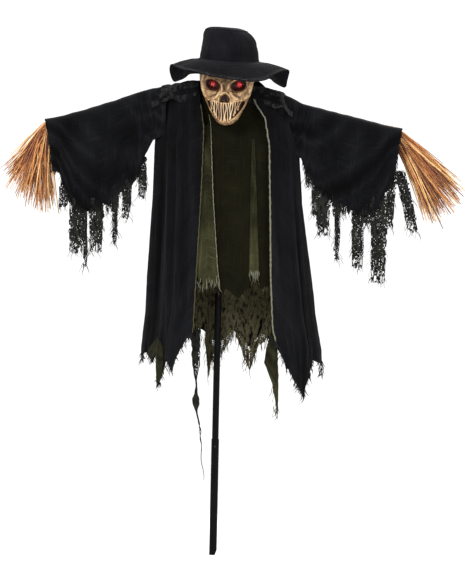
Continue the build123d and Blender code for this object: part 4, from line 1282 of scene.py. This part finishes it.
class SCARECROW_OT_tunic(bpy.types.Operator):
    """Hangs the olive tunic, its torn facings and the net behind the pole"""

    bl_idname = "scarecrow.tunic"
    bl_label = "Tunic"
    bl_options = {"REGISTER", "UNDO"}

    def execute(self, context):
        scene = context.scene
        sizes, net = scene.scarecrow_cloth, scene.scarecrow_net
        cloth = woven("tunic_cloth_finish", *shades(sizes.tunic_colour, 0.55, 2.4), 0.0014)
        pale, olive = facing_cloth(scene), olive_threads(scene)

        def tunic(u, v):
            x = -0.088 + 0.256 * u
            high = 1.335 - 0.030 * bump(abs(u - 0.42) * 2.6)
            low = between(TUNIC_HEM, x)[0] + torn(x, 0.011, 9)
            z = high + (low - high) * v
            narrow = ease(1.22, 1.30, z)
            x += (0.012 - x) * 0.30 * narrow
            fold = 0.005 * ripple(x * 16, z * 1.6, 3) + 0.0025 * ripple(x * 42, z * 3, 8)
            fold += 0.0006 * ripple(x * 200, z * 60)
            fall = 1 - ease(0.9, 1.2, z)
            y = tucked(x, z, 0.014) + fold * (0.4 + 0.9 * fall) * (1 - 0.8 * narrow)
            return Vector((x, min(y, -0.020), z))

        bm = cloth_grid(130, 230, *TUNIC_CUT, tunic)
        rng = random.Random(4)
        places = [rng.uniform(-0.08, 0.16) for _ in range(90)]
        roots = [Vector((x, tucked(x, 0.79, 0.014), between(TUNIC_HEM, x)[0] + 0.006)) for x in places]
        trim = fringe("tunic_hem_threads", "torso", olive, roots, 0.022, 0.0007, 6)
        hang_sheet(bm, "tunic_front_cloth", "torso", cloth, TUNIC_CUT,
                   ("tunic_front",), sizes.thickness)

        def facing(left, right, top, low, inset, seed, deep):
            def place(u, v):
                z = top + (low(u) - top) * v
                a, b = left(z), right(z)
                x = a + (b - a) * u
                fold = ripple(x * 60, z * 2.2, seed) + 0.5 * crease(x * 90, z * 3, seed)
                y = tucked(x, z, inset) + deep * fold + 0.0004 * ripple(x * 300, z * 90)
                return Vector((x + 0.0012 * ripple(z * 60, u, seed), y, z))
            return place

        def pale_foot(u, v):
            return -0.25 + 0.60 * ease(0.45, 1.0, v) + 0.5 * ripple(u * 2, v * 9, 3)

        strips = (
            ("left_facing", lambda z: between(LEFT_OPENING, z)[0] - 0.012,
             lambda z: between(((0.76, 0.006), (0.832, -0.004), (1.04, -0.021), (1.243, -0.032), (1.30, -0.045)), z)[0],
             1.285, lambda u: 0.772 + 0.050 * (1 - u) * abs(ripple(u * 7, 2)) * 2 + torn(u * 0.07, 0.010, 4),
             0.005, 2, 0.0035, 0.053, 0.53, "coat_left_front_cloth", "left_lapel"),
            ("tunic_tear", lambda z: between(((0.80, 0.087), (1.145, 0.087), (1.25, 0.090)), z)[0],
             lambda z: between(((0.80, 0.116), (0.856, 0.114), (1.145, 0.099), (1.25, 0.094)), z)[0],
             1.20, lambda u: 0.808 + torn(u * 0.04, 0.012, 8), 0.009, 5, 0.003, 0.021, 0.40, "tunic_front_cloth", None),
            ("right_facing",
             lambda z: between(((0.40, 0.172), (0.50, 0.160), (0.560, 0.136), (0.600, 0.141), (0.66, 0.156)), z)[0],
             lambda z: between(((0.40, 0.179), (0.515, 0.178), (0.60, 0.174), (0.66, 0.160)), z)[0],
             0.655, lambda u: 0.408 + 0.12 * abs(u - 0.75) ** 1.4 + torn(u * 0.05, 0.006, 3),
             0.006, 7, 0.0025, 0.030, 0.26, "coat_right_front_cloth", None),
        )
        for name, left, right, top, low, inset, seed, deep, wide, long, behind, node in strips:
            bm = cloth_grid(24, 170, wide, long, facing(left, right, top, low, inset, seed, deep), pale_foot)
            rng = random.Random(seed)
            roots = []
            for _ in range(26):
                z = low(rng.random()) + 0.010
                x = rng.uniform(left(z), right(z))
                roots.append(Vector((x, tucked(x, z, inset) - 0.001, z)))
            thread = olive if name == "right_facing" else pale_threads()
            trim = fringe(name + "_threads", "torso", thread, roots, 0.026, 0.0008, seed)
            hang_sheet(bm, name + "_cloth", "torso", pale, (wide, long),
                       (node,) if node else (), sizes.thickness)
            if name == "left_facing":
                def where(z, right=right, inset=inset):
                    return Vector((right(z), tucked(right(z), z, inset) - 0.0022, z))

                frayed_edge("left_facing_edge", where, 1.270, 0.775, 2, 0.0009, thread)

        def gauze(u, v):
            x = -0.072 + 0.228 * u
            low = between(GAUZE_HEM, x)[0] + torn(x, 0.012, 12)
            z = 1.000 + (low - 1.000) * v
            fold = 0.0035 * ripple(x * 22, z * 2, 5) + 0.0015 * ripple(x * 70, z * 8)
            return Vector((x + 0.002 * ripple(z * 14, x * 6), GAUZE_Y + 0.0035 + fold, z))

        bm = cloth_grid(int(TUNIC_NET_CUT[0] / net.mesh_width), 76, TUNIC_NET_CUT[0], 0.43, gauze)
        open_net(bm, net.mesh_width, net.thread * 1.15, 17, 0.30,
                 lambda c: ripple(c.x * 60, c.z * 18, 8) > 0.42 and c.z < 0.70)
        rng = random.Random(12)
        places = [rng.uniform(-0.066, 0.150) for _ in range(150)]
        roots = [Vector((x, GAUZE_Y + 0.003, between(GAUZE_HEM, x)[0] + 0.012)) for x in places]
        trim = fringe("tunic_net_threads", "torso", olive, roots, 0.040, 0.0007, 14, 0.22)
        hang_sheet(bm, "tunic_net_cloth", "torso", olive, TUNIC_NET_CUT,
                   ("tunic_gauze",), 0.0007)

        def rag(u, v):
            z = 0.650 + (0.375 - 0.650) * v
            x, half = curved(LONG_RAG, z)
            half = max(0.0012, half) * (1 + 0.25 * ripple(z * 70, 2))
            y = LONG_RAG_Y + 0.003 * ripple(u * 3, z * 30, 4)
            return Vector((x + half * (2 * u - 1) + 0.002 * ripple(z * 30), y, z))

        black = black_threads(scene)
        bm = cloth_grid(9, 64, *LONG_RAG_CUT, rag)
        rng = random.Random(3)
        tail = Strands(40)
        for foot in (0.216, 0.300, 0.340):
            phase = rng.uniform(0, 6)

            def line(t, phase=phase, foot=foot):
                z = 0.400 + (foot - 0.400) * t
                x = curved(LONG_RAG, z)[0] + 0.0018 * math.sin(phase + t * 14)
                return Vector((x, LONG_RAG_Y + 0.001 * math.cos(phase + t * 11), z))

            tail.add(line, Vector((0, -1, 0)), 0.0011, 0.0008, rng.uniform(0.2, 0.6))
        trim = tail.finish("long_rag_threads", "torso", black)
        open_net(bm, 0.003, 0.0009, 23, 1.1)
        hang_sheet(bm, "long_rag_cloth", "torso", black, LONG_RAG_CUT,
                   ("long_rag",), 0.0009)
        return {"FINISHED"}


class SCARECROW_OT_sleeves(bpy.types.Operator):
    """Hangs the bell sleeves with their torn lower edges and the net rags below them"""

    bl_idname = "scarecrow.sleeves"
    bl_label = "Sleeves"
    bl_options = {"REGISTER", "UNDO"}

    def execute(self, context):
        scene = context.scene
        for name, side, outline, rags in (("left", -1, LEFT_SLEEVE, LEFT_RAGS), ("right", 1, RIGHT_SLEEVE, RIGHT_RAGS)):
            self.sleeve(scene, name, side, outline)
            self.rags(scene, name, side, outline, rags)
        return {"FINISHED"}

    @staticmethod
    def surface(side, outline, x, share, front):
        """A point of the sleeve: x from the pole, share 0 on the top ridge to 1 at the lower edge."""
        top, low = between(outline, x)
        z = top - (top - low) * share
        reach = 0.036 + 0.010 * ease(0.2, 0.5, x)
        round_top = 0.040
        down = (top - z) / round_top
        y = reach * (math.sqrt(max(0.0, 1 - (1 - min(1.0, down)) ** 2)))
        y *= 1 - 0.22 * ease(0.35, 1.0, share)
        sway = ease(0.05, 0.7, share)
        wave = 0.0075 * ripple(x * 20 + share * 1.2 * side, share * 1.1, 2 + side + 7 * front)
        wave += 0.0035 * ripple(x * 48 - share * 2.0, share * 2, 5 + side)
        pull = 0.0045 * (crease(x * 14 + share * 3.2, share * 0.7, 8 + side) - 0.55)
        wave += pull + 0.0008 * ripple(x * 150, z * 120, 3)
        near = 1 - ease(0.215, 0.300, x)
        gather = 0.0034 * ripple(x * 95 + share * 4, share * 1.3, 6) * near
        y += wave * sway + gather * ease(0.0, 0.2, share)
        lift = 0.0022 * ripple(x * 34, side * 3) * (1 - ease(0.0, 0.15, share))
        return Vector((side * x, (-1 if front else 1) * max(0.0, y), z + lift))

    def sleeve(self, scene, name, side, outline):
        """One bell sleeve and the threads of its lower edge and cuff."""
        cuff_top, cuff_low = outline[-1][0], outline[-1][0] - (0.026 if side < 0 else 0.021)
        own = outline[:-1] + ((cuff_top + 0.004, *outline[-1][1:]),)

        def place(u, v):
            front = u < 0.5
            share = abs(1 - 2 * u)
            end = cuff_top + (cuff_low - cuff_top) * share ** 0.8
            end = end + 0.0022 * ripple(share * 30, 5 * front) + 0.0015 * ripple(share * 110, front)
            x = SLEEVE_START + (end - SLEEVE_START) * v
            jag = 0.022 * ripple(x * 42, 3 + side, front * 5) + 0.016 * ripple(x * 120, side, front * 3)
            jag *= ease(0.20, 0.26, x)
            point = self.surface(side, own, x, share ** 0.9, front)
            point.z += jag * share ** 3
            return point

        # painted light: the height of the sleeve's waves and creases, painted as shade and highlights; seam paints
        # highlights on the gathered creases by the shoulder
        def shade(u, v):
            x, share = SLEEVE_START + 0.34 * v, abs(1 - 2 * u)
            long = ripple(x * 20 + share * 1.2 * side, share * 1.1, 2 + side + 7 * (u < 0.5))
            seam = (1 - ease(0.215, 0.300, x)) * 1.6 * max(0.0, crease(x * 60 + share * 2.5, share * 1.5, 4) - 0.62)
            return 0.55 * long + 0.9 * (crease(x * 14 + share * 3.2, share * 0.7, 8 + side) - 0.55) - 0.15 + seam

        bm = cloth_grid(190, 130, *SLEEVE_CUT, place, shade)
        face_up(bm)
        rng = random.Random(20 + side)
        roots = []
        for _ in range(150):
            x = rng.uniform(0.235, cuff_low)
            roots.append(self.surface(side, own, x, 1.0, rng.random() < 0.7) + Vector((0, 0, 0.004)))
        for _ in range(46):
            share = rng.uniform(0.05, 1)
            x = cuff_top + (cuff_low - cuff_top) * share - 0.002
            roots.append(self.surface(side, own, x, share, rng.random() < 0.6))
        trim = fringe(name + "_sleeve_threads", "torso", black_threads(scene), roots, 0.022, 0.0007,
                      8 + side)
        hang_sheet(bm, name + "_sleeve_cloth", "torso", coat_cloth(scene), SLEEVE_CUT,
                   (name + "_sleeve",), scene.scarecrow_cloth.thickness)

    def rags(self, scene, name, side, outline, rags):
        """The net rags below a sleeve, in front and behind."""
        net = scene.scarecrow_net
        thread = black_threads(scene)
        for front in (True, False):
            whole = bmesh.new()
            whole.loops.layers.uv.new("cloth")
            roots = []
            for i, (inner, outer, swing, foot) in enumerate(rags):
                if not front:
                    inner, outer = inner + 0.002, outer - 0.005
                    foot = foot + 0.035 + 0.02 * ripple(i * 3.7, side)
                middle = (inner + outer) / 2
                top = between(outline, min(middle, outline[-1][0]))[1] + 0.030
                columns = max(3, round((outer - inner) / net.mesh_width))
                rows = max(6, round((top - foot) / net.mesh_drop))

                def place(u, v, inner=inner, outer=outer, swing=swing, foot=foot, top=top, i=i):
                    z = top + (foot + 0.012 * ripple(u * 4, i) - top) * v
                    widen = 1 + 0.25 * (1 - v) * bump(v * 1.6)
                    across = (inner + outer) / 2 + (outer - inner) * (u - 0.5) * widen * (1 - 0.18 * v * v)
                    x = across + swing * v + 0.0025 * ripple(z * 22, i, side)
                    base = self.surface(side, outline, min(x, outline[-1][0]), 1.0, front)
                    base.y += (0.0022 if front else -0.0022) + 0.004 * v * ripple(u * 2 + i, v * 4, side)
                    return Vector((side * x, base.y * (1 - 0.10 * v), z))

                bm = cloth_grid(columns, rows, outer - inner, top - foot, place)

                def wear(c, middle=middle, half=(outer - inner) * 0.5, foot=foot, top=top, swing=swing, i=i):
                    v = min(1.0, max(0.0, (top - c.z) / (top - foot)))
                    near_edge = abs(abs(c.x) - middle - swing * v) / half
                    return near_edge > 1.02 + 0.30 * ripple(c.z * 90, i, side) - 0.10 * v or (
                        v > 0.86 and ripple(c.x * 260, c.z * 60, i) > 0.30 - 1.6 * (v - 0.86))

                open_net(bm, net.mesh_width, net.thread, 40 + i + 20 * side + front, 0.55, wear)
                mesh = bpy.data.meshes.new("rag")
                bm.to_mesh(mesh)
                bm.free()
                whole.from_mesh(mesh)
                bpy.data.meshes.remove(mesh)
                rng = random.Random(i + 50 * front)
                roots.extend(place(rng.random(), rng.uniform(0.90, 1.0)) for _ in range(10))
                roots.extend(place(rng.choice((0.02, 0.98)), rng.uniform(0.45, 1.0)) for _ in range(9))
                if foot < 0.80 and front:
                    roots.extend(place(0.45, 1.0) for _ in range(2))
            kind = "front" if front else "rear"
            trim = fringe(f"{name}_{kind}_rag_threads", "torso", thread, roots, 0.026, 0.0006,
                          60 + front, 0.7)
            cut = sum(outer - inner for inner, outer, _, _ in rags), 0.27 if front else 0.24
            hang_sheet(whole, f"{name}_{kind}_rags", "torso", thread, cut,
                       (name + "_sleeve_rags",) if front else (), 0.0006)


class SCARECROW_OT_straw(bpy.types.Operator):
    """Ties the straw hands over the ends of the arms"""

    bl_idname = "scarecrow.straw"
    bl_label = "Straw hands"
    bl_options = {"REGISTER", "UNDO"}

    def execute(self, context):
        scene = context.scene
        sizes = scene.scarecrow_straw
        s = Shader("straw_finish", 0.55, sheen=0.1, specular=0.4)
        place = s.object_place()
        tone = s.math("ADD", s.attribute("tone"), s.math("MULTIPLY", s.noise(place, 55.0, 3.0), 0.45))
        s.link(s.ramp(tone, (0.22, (0.055, 0.012, 0.002)), (0.45, (0.20, 0.050, 0.010)), (0.75, sizes.orange),
                      (1.05, sizes.pale)), "Base Color")
        s.bumped(s.noise(place, 420.0, 2.0), 0.0006)
        along = math.cos(ARM_SLOPE), math.sin(ARM_SLOPE)
        for name, side, tips in (
            ("left", -1, ((0.626, 1.100), (0.604, 1.048), (0.566, 1.010), (0.520, 0.990), (0.476, 0.985))),
            ("right", 1, ((0.696, 1.085), (0.690, 1.045), (0.664, 1.010), (0.636, 0.985), (0.602, 0.968))),
        ):
            fan = [(0.25 * step, *tip) for step, tip in enumerate(tips)]
            rng = random.Random(77 + side)
            strands = Strands(7)
            arm = Vector((side * along[0], 0, -along[1]))
            root = Vector((0, 0, ARM_ROOT))
            for i in range(sizes.strands):
                share = (i + rng.random()) / sizes.strands
                x, z = between(fan, share)
                reach = rng.triangular(0.66, 1.05, 0.95)
                turn = rng.uniform(0, math.tau)
                ring = Vector((0, math.cos(turn), 0)) * BUNDLE
                ring += Vector((arm.z, 0, -arm.x)) * -math.sin(turn) * BUNDLE * side
                start = root + arm * rng.uniform(*STRAW_STARTS) + ring
                tie = root + arm * STRAW_TIE + ring * 1.15
                away = rng.uniform(-1, 1)
                tip = Vector((side * x, 0.028 * away, z))
                tip = tie + (tip - tie) * reach + Vector((rng.gauss(0, 0.009), 0, rng.gauss(0, 0.009)))
                lead = tie + arm * rng.uniform(0.015, 0.030) + Vector((0, 0.010 * away, -0.004))
                bow = Vector((rng.uniform(-1, 1), rng.uniform(-1, 1), rng.uniform(-0.4, 0.4))) * 0.011

                def line(t, start=start, tie=tie, lead=lead, tip=tip, bow=bow):
                    if t < 0.2:
                        return start.lerp(tie, t / 0.2)
                    r = (t - 0.2) / 0.8
                    return tie * (1 - r) ** 2 + lead * (2 * r * (1 - r)) + tip * r * r + bow * math.sin(math.pi * r)

                look = Vector((rng.uniform(-0.8, 0.8), -1 if tip.y < 0 else 1, rng.uniform(-0.5, 0.5))).normalized()
                strands.add(line, look, sizes.width * rng.uniform(0.45, 1.0), 0.0009, rng.uniform(0.0, 0.85), 0.55)
            strands.finish(name + "_straw", name + "_arm", s.material, (name + "_straw_hand",))
            self.tie(name, arm, root, rng)
        return {"FINISHED"}

    @staticmethod
    def tie(name, arm, root, rng):
        """Turns of twine round the root of the straw, with two loose ends."""
        level, upright = Vector((0, 1, 0)), arm.cross(Vector((0, 1, 0)))
        strands = Strands(150)

        def winding(t):
            turn = math.tau * 5.0 * t
            out = level * math.cos(turn) + upright * math.sin(turn)
            return root + arm * (0.4970 + 0.0090 * t) + out * (TWINE_RADIUS + 0.0002 * math.sin(turn * 3.0))

        strands.add(winding, arm, 0.00105, 0.00105, 0.5, 0.0)
        strands.cut(8)
        for reach in (0.018, 0.024):
            start, lean = root + arm * 0.5015 + upright * TWINE_RADIUS, rng.uniform(-0.5, 0.5)

            def end(t, start=start, reach=reach, lean=lean):
                return start + Vector((0.006 * lean * t, -0.003 * t - 0.006 * t * (1 - t), -reach * t * t))

            strands.add(end, Vector((0, -1, 0)), 0.0009, 0.0009, 0.6, 0.0)
        strands.finish(name + "_twine", name + "_arm", SCARECROW_OT_frame_finishes.twine(),
                       (name + "_hand_tie",))


PARTS = (SCARECROW_OT_stage, SCARECROW_OT_frame_finishes, SCARECROW_OT_mask, SCARECROW_OT_hat, SCARECROW_OT_coat,
         SCARECROW_OT_tunic, SCARECROW_OT_sleeves, SCARECROW_OT_straw)
SETTINGS = (("scarecrow_cloth", ScarecrowCloth), ("scarecrow_net", ScarecrowNet), ("scarecrow_head", ScarecrowHead),
            ("scarecrow_straw", ScarecrowStraw), ("scarecrow_stage", ScarecrowStage))


class SCARECROW_PT_panel(bpy.types.Panel):
    """Lists the scarecrow's settings and the operators that make its pieces"""

    bl_idname = "SCARECROW_PT_panel"
    bl_label = "Garden Scarecrow"
    bl_space_type = "VIEW_3D"
    bl_region_type = "UI"
    bl_category = "Scarecrow"

    def draw(self, context):
        for name, group in SETTINGS:
            box = self.layout.box()
            for field in group.__annotations__:
                box.prop(getattr(context.scene, name), field)
        for part in PARTS:
            self.layout.operator(part.bl_idname)


def register():
    for name, group in SETTINGS:
        bpy.utils.register_class(group)
        setattr(bpy.types.Scene, name, PointerProperty(type=group))
    for part in (*PARTS, SCARECROW_PT_panel):
        bpy.utils.register_class(part)


def unregister():
    for part in reversed((*PARTS, SCARECROW_PT_panel)):
        bpy.utils.unregister_class(part)
    for name, group in SETTINGS:
        delattr(bpy.types.Scene, name)
        bpy.utils.unregister_class(group)


def main():
    """Makes the whole scarecrow."""
    register()
    for part in PARTS:
        group, name = part.bl_idname.split(".")
        getattr(getattr(bpy.ops, group), name)()


if __name__ == "__main__":
    main()
